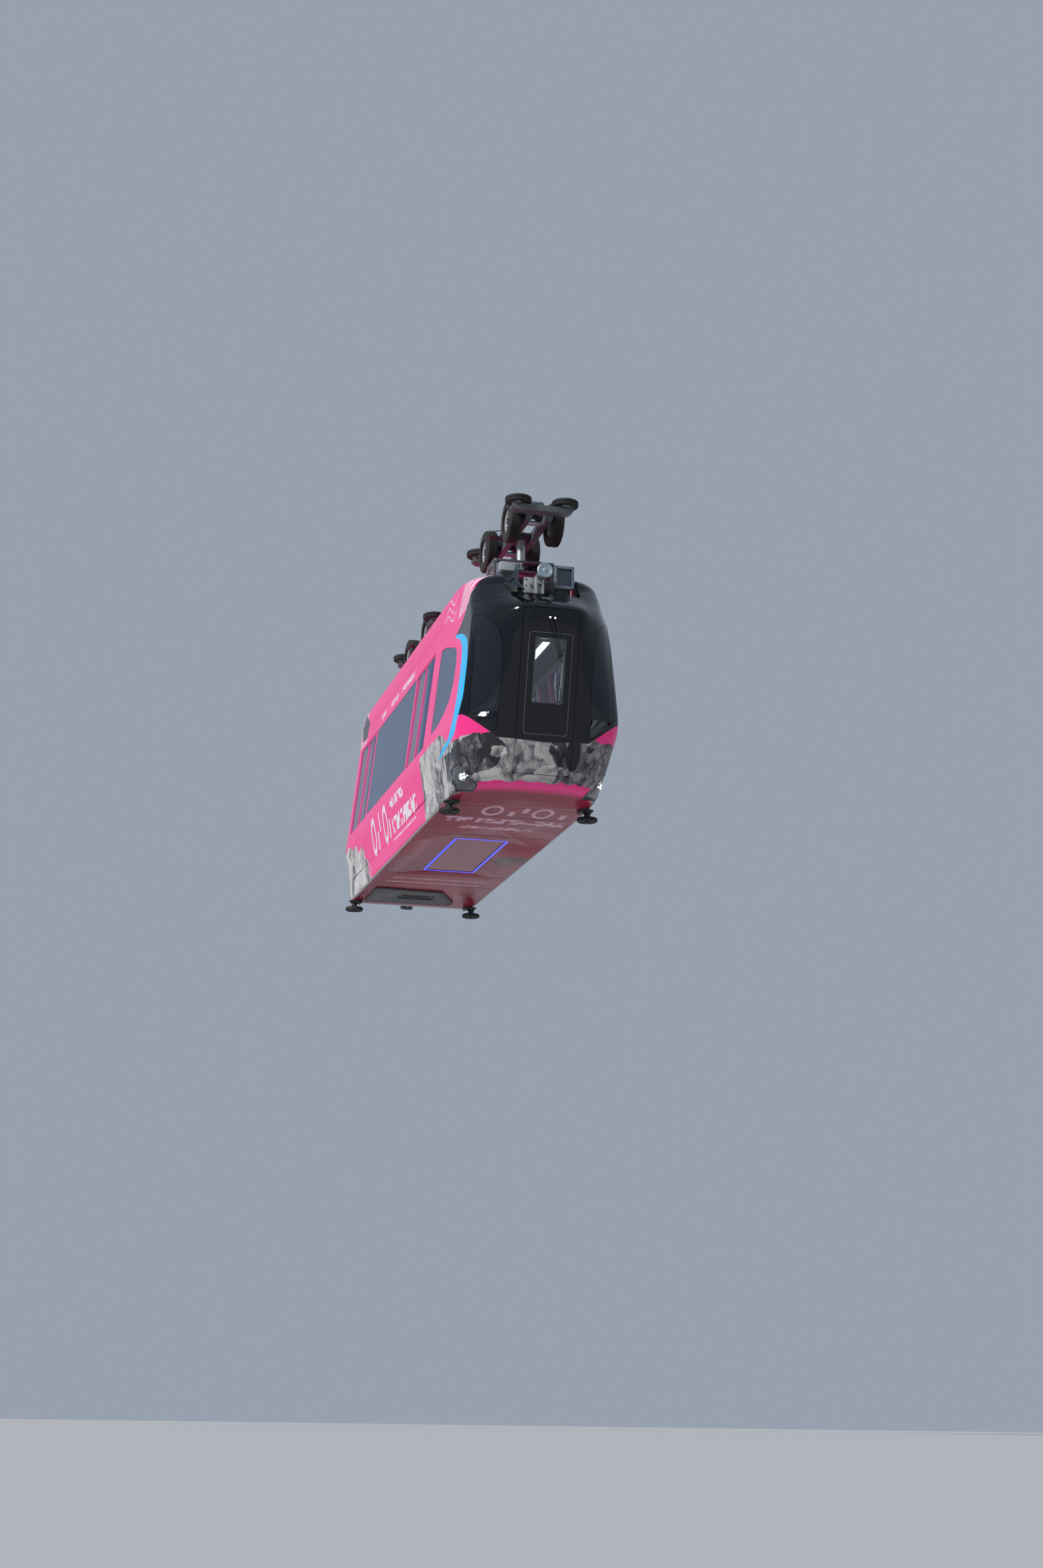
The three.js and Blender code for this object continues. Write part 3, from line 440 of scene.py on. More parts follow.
LIVERY = make_livery_paint("livery_paint", 0.10, 0.2)
BELLY_PAINT = make_livery_paint("belly_paint", 0.0, 0.07)
MASK_PAINT = finish("mask_paint", srgb(7, 10, 17), 0.10, 0.0, 0.03, 0.03, coat=0.25, specular=0.3)
STRIPE = finish("cyan_film", srgb(14, 190, 255), 0.3, 0.0, 0.05, 0.05, coat=0.3, specular=0.35)
SEAL = finish("seal_rubber", srgb(18, 18, 20), 0.75, 0.0, 0.25, 0.4)
SIDE_GLASS = glass("side_glass", srgb(72, 94, 132), 0.2, 0.05, 0.15, 0.22)
NOSE_GLASS = glass("nose_glass", srgb(30, 36, 48), 0.4, 0.02, specular=0.4)
DOOR_GLASS = glass("door_window_glass", srgb(196, 206, 214), 0.95, 0.02)
LAMP_GLASS = glass("lamp_cover", srgb(190, 194, 200), 0.9, 0.03)
FLOOR_GLASS = glass("floor_glass", srgb(150, 56, 74), 0.1, 0.06, specular=0.12)
PALE_METAL = finish("pale_metal", srgb(186, 190, 192), 0.4, 0.6, 0.3, 0.2)
STEEL = finish("bogie_steel", srgb(92, 96, 100), 0.5, 0.4, 0.5, 0.3)
DARK_METAL = finish("dark_metal", srgb(38, 40, 44), 0.5, 0.3, 0.4, 0.3)
BLACK_PLASTIC = finish("black_plastic", srgb(22, 23, 26), 0.45, 0.0, 0.3, 0.3)
TYRE = finish("tyre_rubber", srgb(28, 28, 29), 0.8, 0.0, 0.5, 0.6)
BELLOWS = finish("bellows_fabric", srgb(228, 226, 220), 0.85, 0.0, 0.5, 0.5)
DISC_METAL = finish("coupler_metal", srgb(150, 168, 176), 0.45, 0.35, 0.25, 0.2)
FLOOR_MAT = finish("floor_mat", srgb(70, 74, 80), 0.8, 0.0, 0.3, 0.4)
FRAME_INK = finish("frame_line", srgb(120, 124, 130), 0.4)
COVER_PAINT = finish("cover_paint", srgb(62, 58, 60), 0.5, 0.0, 0.4, 0.3)
SILL_TRIM = finish("sill_trim", srgb(150, 148, 150), 0.45, 0.2, 0.4, 0.2)
BELLOWS_PIPING = finish("bellows_piping", srgb(168, 166, 158), 0.8, 0.0, 0.4, 0.3)
WIPER_METAL = finish("wiper_metal", srgb(176, 178, 180), 0.35, 0.6, 0.1, 0.1)
SENSOR_PAINT = finish("sensor_paint", srgb(104, 116, 128), 0.45, 0.1, 0.3, 0.2)
LAMP_COVER_BLUE = finish("sensor_window", srgb(34, 44, 58), 0.12, 0.0, 0.05, 0.05, coat=1.0)
VALVE_METAL = finish("valve_metal", srgb(172, 160, 132), 0.4, 0.7, 0.3, 0.2)
HOSE_RUBBER = finish("hose_rubber", srgb(40, 40, 44), 0.6, 0.0, 0.2, 0.4)
MOULDED_RUBBER = finish("moulded_rubber", srgb(30, 30, 32), 0.7, 0.0, 0.4, 0.3)
MOTOR_PAINT = finish("motor_paint", srgb(70, 82, 92), 0.45, 0.1, 0.5, 0.3)
RIM_PAINT = finish("rim_paint", srgb(168, 172, 174), 0.4, 0.4, 0.5, 0.2)
INSULATOR = finish("insulator", srgb(140, 64, 44), 0.35, 0.0, 0.2, 0.1)
CARBON = finish("carbon_strip", srgb(34, 34, 36), 0.6, 0.2, 0.2, 0.3)
RAIL_METAL = finish("rail_metal", srgb(196, 198, 200), 0.25, 0.9, 0.05, 0.05)
SEAT_SHELL = finish("seat_shell", srgb(70, 126, 178), 0.4, 0.0, 0.15, 0.1)
SEAT_PAD = finish("seat_insert", srgb(44, 66, 92), 0.7, 0.0, 0.15, 0.4)
CAB_LINING = finish("cab_lining", srgb(66, 70, 76), 0.6, 0.0, 0.2, 0.2)
LINING = finish("interior_lining", srgb(186, 192, 196), 0.5, 0.0, 0.15, 0.1)
BLUE_LIGHT = glow("floor_window_light", srgb(66, 72, 240), 1.9)
CABIN_LIGHT = glow("cabin_light", srgb(235, 240, 255), 4.0)
LAMP_LIGHT = glow("headlamp_light", srgb(255, 255, 250), 7.0)
# Painted highlight: a glowing finish for the glint on the wiper pivots, which are no lamps
PIVOT_GLINT = glow("pivot_glint", srgb(255, 250, 235), 2.5)
RED_LIGHT = glow("marker_light", srgb(160, 20, 26), 0.6)


# Meshes
X, Y, Z, DOWN = (1, 0, 0), (0, 1, 0), (0, 0, 1), (0, 0, -1)


def linked(name, mesh):
    piece = bpy.data.objects.new(name, mesh)
    bpy.context.scene.collection.objects.link(piece)
    return piece


def mesh_of(name, vertices, faces):
    mesh = bpy.data.meshes.new(name)
    mesh.from_pydata([tuple(v) for v in vertices], [], faces)
    bm = bmesh.new()
    bm.from_mesh(mesh)
    bmesh.ops.remove_doubles(bm, verts=bm.verts, dist=1e-5)
    bmesh.ops.recalc_face_normals(bm, faces=bm.faces)
    bm.to_mesh(mesh)
    bm.free()
    return mesh


def grid_faces(rows, columns, loop_rows=False, loop_columns=False):
    faces = []
    for i in range(rows if loop_rows else rows - 1):
        for j in range(columns if loop_columns else columns - 1):
            k, m = (i + 1) % rows, (j + 1) % columns
            faces.append((i * columns + j, i * columns + m, k * columns + m, k * columns + j))
    return faces


def rectangle(a0, a1, b0, b1):
    return [(a0, b0), (a1, b0), (a1, b1), (a0, b1)]


def rounded(points, radius, steps=5):
    """A polygon with its corners turned to arcs of a radius, or of one radius each."""
    count = len(points)
    radii = [radius] * count if isinstance(radius, (int, float)) else radius
    result = []
    for i, (point, r) in enumerate(zip(points, radii)):
        p = np.array(point, float)
        a = np.array(points[i - 1], float) - p
        b = np.array(points[(i + 1) % count], float) - p
        la, lb = np.linalg.norm(a), np.linalg.norm(b)
        a, b = a / la, b / lb
        half = math.acos(max(-1, min(1, float(a @ b)))) / 2
        if r <= 0 or half > math.pi / 2 - 0.02:
            result.append(tuple(p))
            continue
        back = min(r / math.tan(half), 0.45 * la, 0.45 * lb)
        r = back * math.tan(half)
        middle = p + (a + b) / np.linalg.norm(a + b) * (r / math.sin(half))
        start, end = p + a * back - middle, p + b * back - middle
        sweep = math.atan2(start[0] * end[1] - start[1] * end[0], start @ end)
        for k in range(steps + 1):
            angle = sweep * k / steps
            c, s = math.cos(angle), math.sin(angle)
            result.append((middle[0] + c * start[0] - s * start[1], middle[1] + s * start[0] + c * start[1]))
    return result


def prism(points, low, high, view):
    """A closed prism from an outline in side view (x, z), front view (y, z) or plan (x, y)."""
    place = {
        "side": lambda a, b, d: (a, d, b),
        "front": lambda a, b, d: (d, a, b),
        "plan": lambda a, b, d: (a, b, d),
    }[view]
    count = len(points)
    vertices = [place(a, b, low) for a, b in points] + [place(a, b, high) for a, b in points]
    faces = [tuple(range(count)), tuple(range(2 * count - 1, count - 1, -1))]
    faces += [(i, i + count, (i + 1) % count + count, (i + 1) % count) for i in range(count)]
    return mesh_of("prism", vertices, faces)


def box_mesh(low, high):
    (x0, y0, z0), (x1, y1, z1) = low, high
    return prism([(x0, y0), (x1, y0), (x1, y1), (x0, y1)], z0, z1, "plan")


def evaluated(piece):
    """The piece's mesh with its modifiers carried out."""
    return bpy.data.meshes.new_from_object(piece.evaluated_get(bpy.context.evaluated_depsgraph_get()))


def result_of(piece, *helpers):
    """The piece's finished mesh, once its working objects are removed."""
    result = evaluated(piece)
    for item in (piece, *helpers):
        bpy.data.objects.remove(item)
    return result


def combined(mesh, *tools, operation="DIFFERENCE"):
    """The mesh after cutting, joining or intersecting with each tool in turn."""
    piece = linked("work", mesh)
    helpers = [linked("tool", tool) for tool in tools]
    for helper in helpers:
        modifier = piece.modifiers.new("cut", "BOOLEAN")
        modifier.solver = "MANIFOLD"
        modifier.operation = operation
        modifier.object = helper
    return result_of(piece, *helpers)


def mirrored(mesh):
    copy = mesh.copy()
    copy.transform(Matrix.Diagonal((1, -1, 1, 1)))
    copy.flip_normals()
    return copy


def sided(mesh, side, drawn=-1):
    """The mesh on the side where it was drawn, the right or the left, or its mirror image on the other."""
    return mesh.copy() if side == drawn else mirrored(mesh)


def joined(*meshes):
    bm = bmesh.new()
    for mesh in meshes:
        bm.from_mesh(mesh)
    whole = bpy.data.meshes.new("joined")
    bm.to_mesh(whole)
    bm.free()
    return whole


def both_halves(mesh):
    """A half on the car's right and its mirror image, welded along the centre plane."""
    bm = bmesh.new()
    bm.from_mesh(mesh)
    flat = [f for f in bm.faces if all(abs(v.co.y) < 1e-5 for v in f.verts)]
    bmesh.ops.delete(bm, geom=flat, context="FACES")
    half = bm.copy()
    bmesh.ops.transform(half, matrix=Matrix.Diagonal((1, -1, 1, 1)), verts=half.verts)
    bmesh.ops.reverse_faces(half, faces=half.faces)
    other = bpy.data.meshes.new("half")
    half.to_mesh(other)
    bm.from_mesh(other)
    bmesh.ops.remove_doubles(bm, verts=bm.verts, dist=1e-5)
    whole = bpy.data.meshes.new("whole")
    bm.to_mesh(whole)
    bm.free()
    half.free()
    return whole


def add_bevel(piece, width, segments, angle, harden=False):
    modifier = piece.modifiers.new("edges", "BEVEL")
    modifier.width = width
    modifier.segments = segments
    modifier.limit_method = "ANGLE"
    modifier.angle_limit = math.radians(angle)
    modifier.harden_normals = harden


def shown(name, mesh, material, body=BODY, replaces=(), bevel=0.0, angle=35,
          on_skin=False, second=()):
    """Adds a finished piece to the scene, with its edges softened and its smooth faces shaded."""
    piece = linked(name, mesh)
    mesh.name = name
    if mesh.materials:
        mesh.materials.clear()
    for item in material if isinstance(material, (list, tuple)) else [material]:
        mesh.materials.append(item)
    if bevel:
        add_bevel(piece, bevel, 2, angle, harden=True)
        softened = evaluated(piece)
        piece.modifiers.clear()
        piece.data = softened
        softened.name = name
    for other, chosen in second:
        piece.data.materials.append(other)
        for face in piece.data.polygons:
            if chosen(face):
                face.material_index = len(piece.data.materials) - 1
    piece.data.shade_smooth()
    piece.data.set_sharp_from_angle(angle=math.radians(angle))
    if on_skin:
        follow_skin(piece.data)
    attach(piece, body)
    if replaces:
        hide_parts(*([replaces] if isinstance(replaces, str) else replaces))
    return piece


def soft(mesh, width=0.004, segments=2):
    """The mesh with its sharp edges rounded."""
    piece = linked("work", mesh)
    add_bevel(piece, width, segments, 35)
    return result_of(piece)


def placed(mesh, move=(0, 0, 0), turn=None):
    copy = mesh.copy()
    copy.transform(Matrix.Translation(move) @ (turn.to_4x4() if turn else Matrix.Identity(4)))
    return copy


def rounded_plate(a, b, radius, low, high, view="plan"):
    """A plate with rounded corners between two spans of a view, from one level to another."""
    return prism(rounded(rectangle(*a, *b), radius), low, high, view)


def widened(span, by):
    return span[0] - by, span[1] + by


def about(middle, half):
    """The span that reaches as far on both sides of its middle."""
    return middle - half, middle + half


def beside(side, near, far):
    """The span between two distances from the middle, on the right or the left."""
    return sorted((side * near, side * far))


def block(x, y, z, width=0.004):
    """A block between three spans, with rounded edges."""
    return soft(box_mesh(*zip(x, y, z)), width)


def raised_block(x, y, heights, width=0.004):
    return block(x, y, [up(h) for h in heights], width)


def raised_box(x, y, heights):
    return box_mesh(*zip(x, y, [up(h) for h in heights]))


TURNS = {
    "z": Matrix.Identity(3),
    "y": Matrix.Rotation(-math.pi / 2, 3, "X"),
    "x": Matrix.Rotation(math.pi / 2, 3, "Y"),
}


def turned(profile, axis="z", place=(0, 0, 0), sides=40):
    """A turned body from pairs of radius and distance along its axis, closed or ending on the axis."""
    angles = np.linspace(0, 2 * math.pi, sides, endpoint=False)
    vertices = [(r * math.cos(a), r * math.sin(a), d) for r, d in profile for a in angles]
    on_axis = profile[0][0] == 0 and profile[-1][0] == 0
    faces = grid_faces(len(profile), sides, loop_rows=not on_axis, loop_columns=True)
    return placed(mesh_of("turned", vertices, faces), place, TURNS[axis])


def rod(a, b, radius, sides=20):
    """A round bar from a to b with chamfered ends."""
    a, b = Vector(a), Vector(b)
    length, edge = (b - a).length, radius * 0.12
    profile = [(0, 0), (radius - edge, 0), (radius, edge), (radius, length - edge), (radius - edge, length),
               (0, length)]
    return placed(turned(profile, sides=sides), a, (b - a).to_track_quat("Z", "Y").to_matrix())


def ribbed(radius, length, ribs, depth):
    """A profile with rounded ribs, for convoluted or finned round bodies, along the axis from 0."""
    steps = ribs * 8
    body = [(radius - depth * (0.5 + 0.5 * math.cos(2 * math.pi * ribs * k / steps)), length * k / steps)
            for k in range(steps + 1)]
    return [(0, 0), *body, (0, length)]


def assembled(name, parts, body=BODY, replaces=(), angle=35, on_skin=False):
    """One piece from several meshes, each with its own material."""
    bm = bmesh.new()
    materials = []
    for mesh, material in parts:
        if material not in materials:
            materials.append(material)
        before = len(bm.faces)
        bm.from_mesh(mesh)
        bm.faces.ensure_lookup_table()
        for face in bm.faces[before:]:
            face.material_index = materials.index(material)
    whole = bpy.data.meshes.new(name)
    bm.to_mesh(whole)
    bm.free()
    return shown(name, whole, materials, body, replaces, 0.0, angle, on_skin=on_skin)


# Geometry Nodes: a unit set at many places, and a round tube along a line
def node_tree(name, inputs):
    tree = bpy.data.node_groups.new(name, "GeometryNodeTree")
    tree.is_modifier = True
    add = tree.interface.new_socket
    for way in ("OUTPUT", "INPUT"):
        add("Geometry", in_out=way, socket_type="NodeSocketGeometry")
    names = {label: add(label, in_out="INPUT", socket_type=kind).identifier for label, kind in inputs}
    return tree, Tree(tree), tree.nodes.new("NodeGroupInput"), tree.nodes.new("NodeGroupOutput"), names


def end_tree(t, inlet, outlet, geometry):
    """Ends a tree with real geometry in the finish that it is given."""
    real = t.put("GeometryNodeRealizeInstances", 0, (0, geometry))
    painted = t.put("GeometryNodeSetMaterial", 0, ("Geometry", real), ("Material", inlet.outputs["Material"]))
    t.links.new(painted, outlet.inputs[0])


def make_repeat_tree():
    tree, t, inlet, outlet, names = node_tree(
        "repeat_at_places", [("Unit", "NodeSocketObject"), ("Material", "NodeSocketMaterial")])
    unit = t.put("GeometryNodeObjectInfo", "Geometry", ("Object", inlet.outputs["Unit"]))
    facing, along = (t.put("GeometryNodeInputNamedAttribute", 0, ("Name", name), data_type="FLOAT_VECTOR")
                     for name in ("facing", "along"))
    upright = t.put("FunctionNodeAlignRotationToVector", 0, ("Vector", facing), axis="Z")
    turn = t.put("FunctionNodeAlignRotationToVector", 0, ("Rotation", upright), ("Vector", along),
                 axis="X", pivot_axis="Z")
    many = t.put("GeometryNodeInstanceOnPoints", 0, ("Points", inlet.outputs["Geometry"]),
                 ("Instance", unit), ("Rotation", turn))
    end_tree(t, inlet, outlet, many)
    return tree, names


def make_tube_tree():
    tree, t, inlet, outlet, names = node_tree(
        "tube_along_line",
        [("Radius", FLOAT), ("Sides", "NodeSocketInt"), ("Material", "NodeSocketMaterial")])
    line = t.put("GeometryNodeMeshToCurve", 0, ("Mesh", inlet.outputs["Geometry"]))
    ring = t.put("GeometryNodeCurvePrimitiveCircle", 0, ("Resolution", inlet.outputs["Sides"]),
                 ("Radius", inlet.outputs["Radius"]))
    tube = t.put("GeometryNodeCurveToMesh", 0, ("Curve", line), ("Profile Curve", ring), ("Fill Caps", True))
    end_tree(t, inlet, outlet, tube)
    return tree, names


REPEAT_TREE, REPEAT_NAMES = make_repeat_tree()
TUBE_TREE, TUBE_NAMES = make_tube_tree()


def through_nodes(mesh, tree, names, **values):
    piece = linked("work", mesh)
    modifier = piece.modifiers.new("nodes", "NODES")
    modifier.node_group = tree
    for label, value in values.items():
        modifier[names[label]] = value
    return result_of(piece)


def repeated(unit, places, material):
    """The unit at each place: where it is, the way it faces (its own Z) and where its X points."""
    cloud = bpy.data.meshes.new("places")
    cloud.from_pydata([tuple(p) for p, _, _ in places], [], [])
    for k, label in ((1, "facing"), (2, "along")):
        attribute = cloud.attributes.new(label, "FLOAT_VECTOR", "POINT")
        attribute.data.foreach_set("vector", [float(c) for item in places for c in item[k]])
    holder = linked("unit", unit)
    result = through_nodes(cloud, REPEAT_TREE, REPEAT_NAMES, Unit=holder, Material=material)
    bpy.data.objects.remove(holder)
    return result


def tube(points, radius, material, closed=False, sides=12):
    count = len(points)
    edges = [(i, (i + 1) % count) for i in range(count if closed else count - 1)]
    line = bpy.data.meshes.new("line")
    line.from_pydata([tuple(p) for p in points], edges, [])
    return through_nodes(line, TUBE_TREE, TUBE_NAMES, Radius=radius, Sides=sides, Material=material)


def around(radius, count, axis="z", place=(0, 0, 0), lift=0.0, outward=False, start=0.0):
    """Places on a ring, facing along its axis or outwards from it."""
    turn, centre, result = TURNS[axis], Vector(place), []
    for k in range(count):
        angle = start + 2 * math.pi * k / count
        out = Vector((math.cos(angle), math.sin(angle), 0))
        spin = Vector((-math.sin(angle), math.cos(angle), 0))
        facing = out if outward else Vector((0, 0, 1))
        result.append((centre + turn @ (out * radius + Vector((0, 0, lift))), turn @ facing, turn @ spin))
    return result


BOLT_HEAD = [(0, 0.55), (0.34, 0.55), (0.50, 0.42), (0.50, 0.05), (0, 0.05)]
BOLT_WASHER = [(0, 0.08), (0.70, 0.08), (0.72, -0.20), (0, -0.20)]


def bolt(size):
    """A hexagon head on its washer, of a given width, facing +Z."""
    head = turned([(r * size, d * size) for r, d in BOLT_HEAD], sides=6)
    washer = turned([(r * size, d * size) for r, d in BOLT_WASHER], sides=14)
    return joined(head, washer)


def spread(xs, ys, zs, facing=Z, along=X):
    """A place at each crossing of these x, y and z, all of them facing one way."""
    return [((x, y, z), facing, along) for x in xs for y in ys for z in zs]


def lowered(places, by):
    """The places moved down by a distance, where they face down."""
    return [((p[0], p[1], p[2] - by), DOWN, along) for p, _, along in places]


def on_side(places, side):
    """Places of the left side, kept there or moved to the right side, facing away from the middle."""
    return [((p[0], side * p[1], p[2]), (0, side, 0), along) for p, _, along in places]


def bolts(size, places, finished=STEEL):
    """The same bolt at many places, with its finish, for a piece made of parts."""
    return repeated(bolt(size), places, STEEL), finished


HOSE_STATIONS = [
    (3.7406, -0.240, 3.299), (3.900, -0.240, 3.300), (4.150, -0.250, 3.240), (4.420, -0.300, 3.120),
    (4.560, -0.330, 3.070), (4.480, -0.380, 3.180), (4.200, -0.360, 3.330), (4.000, -0.330, 3.420),
    (3.860, -0.320, 3.450), (3.7406, -0.320, 3.452),
]
HOSE_DIAMETER = 0.0276
HOSE_NUT = [(0.0142, 0.0), (0.024, 0.0), (0.024, 0.022), (0.019, 0.026), (0.019, 0.050), (0.0142, 0.052)]


def through(stations, steps):
    """A centripetal Catmull-Rom line through the stations."""
    p = [np.array(q, float) for q in stations]
    p = [2 * p[0] - p[1], *p, 2 * p[-1] - p[-2]]
    line = []
    for a, b, c, d in zip(p, p[1:], p[2:], p[3:]):
        ab, bc, cd = (math.sqrt(np.linalg.norm(v)) for v in (b - a, c - b, d - c))
        leave = ((b - a) / ab - (c - a) / (ab + bc) + (c - b) / bc) * bc
        arrive = ((c - b) / bc - (d - b) / (bc + cd) + (d - c) / cd) * bc
        for k in range(steps):
            u = k / steps
            line.append((2 * u**3 - 3 * u**2 + 1) * b + (u**3 - 2 * u**2 + u) * leave
                        + (3 * u**2 - 2 * u**3) * c + (u**3 - u**2) * arrive)
    return [tuple(q) for q in [*line, p[-2]]]


def make_air_hose():
    line = [(x, y, up(h)) for x, y, h in through(HOSE_STATIONS, 8)]
    hose = shown("brake_air_hose", tube(line, HOSE_DIAMETER / 2, HOSE_RUBBER, sides=20), HOSE_RUBBER, BODY,
                 "air_hose", 0.0, 60)
    nuts = [(turned(HOSE_NUT, "x", end, 6), VALVE_METAL) for end in (line[0], line[-1])]
    fittings = assembled("hose_unions", nuts, BODY, ())


make_air_hose()


# The car's outer skin, from the same horizontal slices as the solids
SLICES = [
    # height, half width, side's end, corner x and y, pillar x and y, door edge x, centre line x
    (0.148, 1.070, 2.900, 3.150, 1.010, 3.380, 0.700, 3.440, 3.450),
    (0.205, 1.108, 3.000, 3.560, 1.050, 3.990, 0.740, 4.110, 4.140),
    (0.300, 1.116, 3.330, 3.800, 1.052, 4.200, 0.745, 4.376, 4.410),
    (0.490, 1.130, 3.700, 4.030, 1.068, 4.390, 0.735, 4.490, 4.520),
    (0.760, 1.168, 3.950, 4.220, 1.100, 4.540, 0.700, 4.605, 4.640),
    (1.080, 1.215, 4.180, 4.350, 1.130, 4.610, 0.690, 4.680, 4.710),
    (1.310, 1.190, 4.300, 4.450, 1.080, 4.660, 0.690, 4.730, 4.765),
    (2.000, 1.112, 4.320, 4.500, 1.010, 4.770, 0.690, 4.880, 4.920),
    (2.500, 1.055, 4.280, 4.480, 0.960, 4.800, 0.690, 4.985, 5.030),
    (2.650, 1.038, 4.230, 4.430, 0.950, 4.770, 0.690, 5.000, 5.050),
    (2.800, 1.022, 4.130, 4.340, 0.940, 4.680, 0.680, 4.850, 4.900),
    (2.950, 1.005, 4.020, 4.240, 0.930, 4.540, 0.660, 4.630, 4.660),
    (3.180, 0.985, 3.850, 4.100, 0.915, 4.330, 0.650, 4.380, 4.400),
    (3.400, 0.962, 3.400, 3.850, 0.880, 4.120, 0.620, 4.180, 4.200),
    (3.580, 0.915, 2.500, 3.000, 0.820, 3.250, 0.560, 3.320, 3.340),
    (3.700, 0.815, 1.300, 1.750, 0.700, 2.050, 0.450, 2.110, 2.130),
    (3.760, 0.620, 0.300, 0.700, 0.500, 0.900, 0.300, 0.950, 0.960),
    (3.780, 0.360, -0.700, -0.450, 0.280, -0.300, 0.150, -0.280, -0.270),
    (3.780, 0.000, -0.700, -0.450, 0.000, -0.300, 0.000, -0.280, -0.270),
]
DOOR_EDGE_Y = 0.430


def hermite(knots, values, where):
    """Smooth curve through values at the knots that doesn't swing past them."""
    knots, values, where = (np.asarray(a, float) for a in (knots, values, where))
    steps = np.diff(knots)
    slopes = np.diff(values, axis=0) / steps[:, None]
    tangents = np.zeros_like(values)
    before, after = steps[:-1, None], steps[1:, None]
    inner = (slopes[:-1] * after + slopes[1:] * before) / (before + after)
    limit = 3 * np.minimum(abs(slopes[:-1]), abs(slopes[1:]))
    inner = np.clip(inner, -limit, limit)
    inner[slopes[:-1] * slopes[1:] <= 0] = 0
    tangents[1:-1] = inner
    tangents[0], tangents[-1] = slopes[0], slopes[-1]
    i = np.clip(np.searchsorted(knots, where) - 1, 0, len(steps) - 1)
    h = steps[i]
    u = ((where - knots[i]) / h)[:, None]
    h = h[:, None]
    return (
        (1 + 2 * u) * (1 - u) ** 2 * values[i] + u * (1 - u) ** 2 * h * tangents[i]
        + u * u * (3 - 2 * u) * values[i + 1] + u * u * (u - 1) * h * tangents[i + 1]
    )


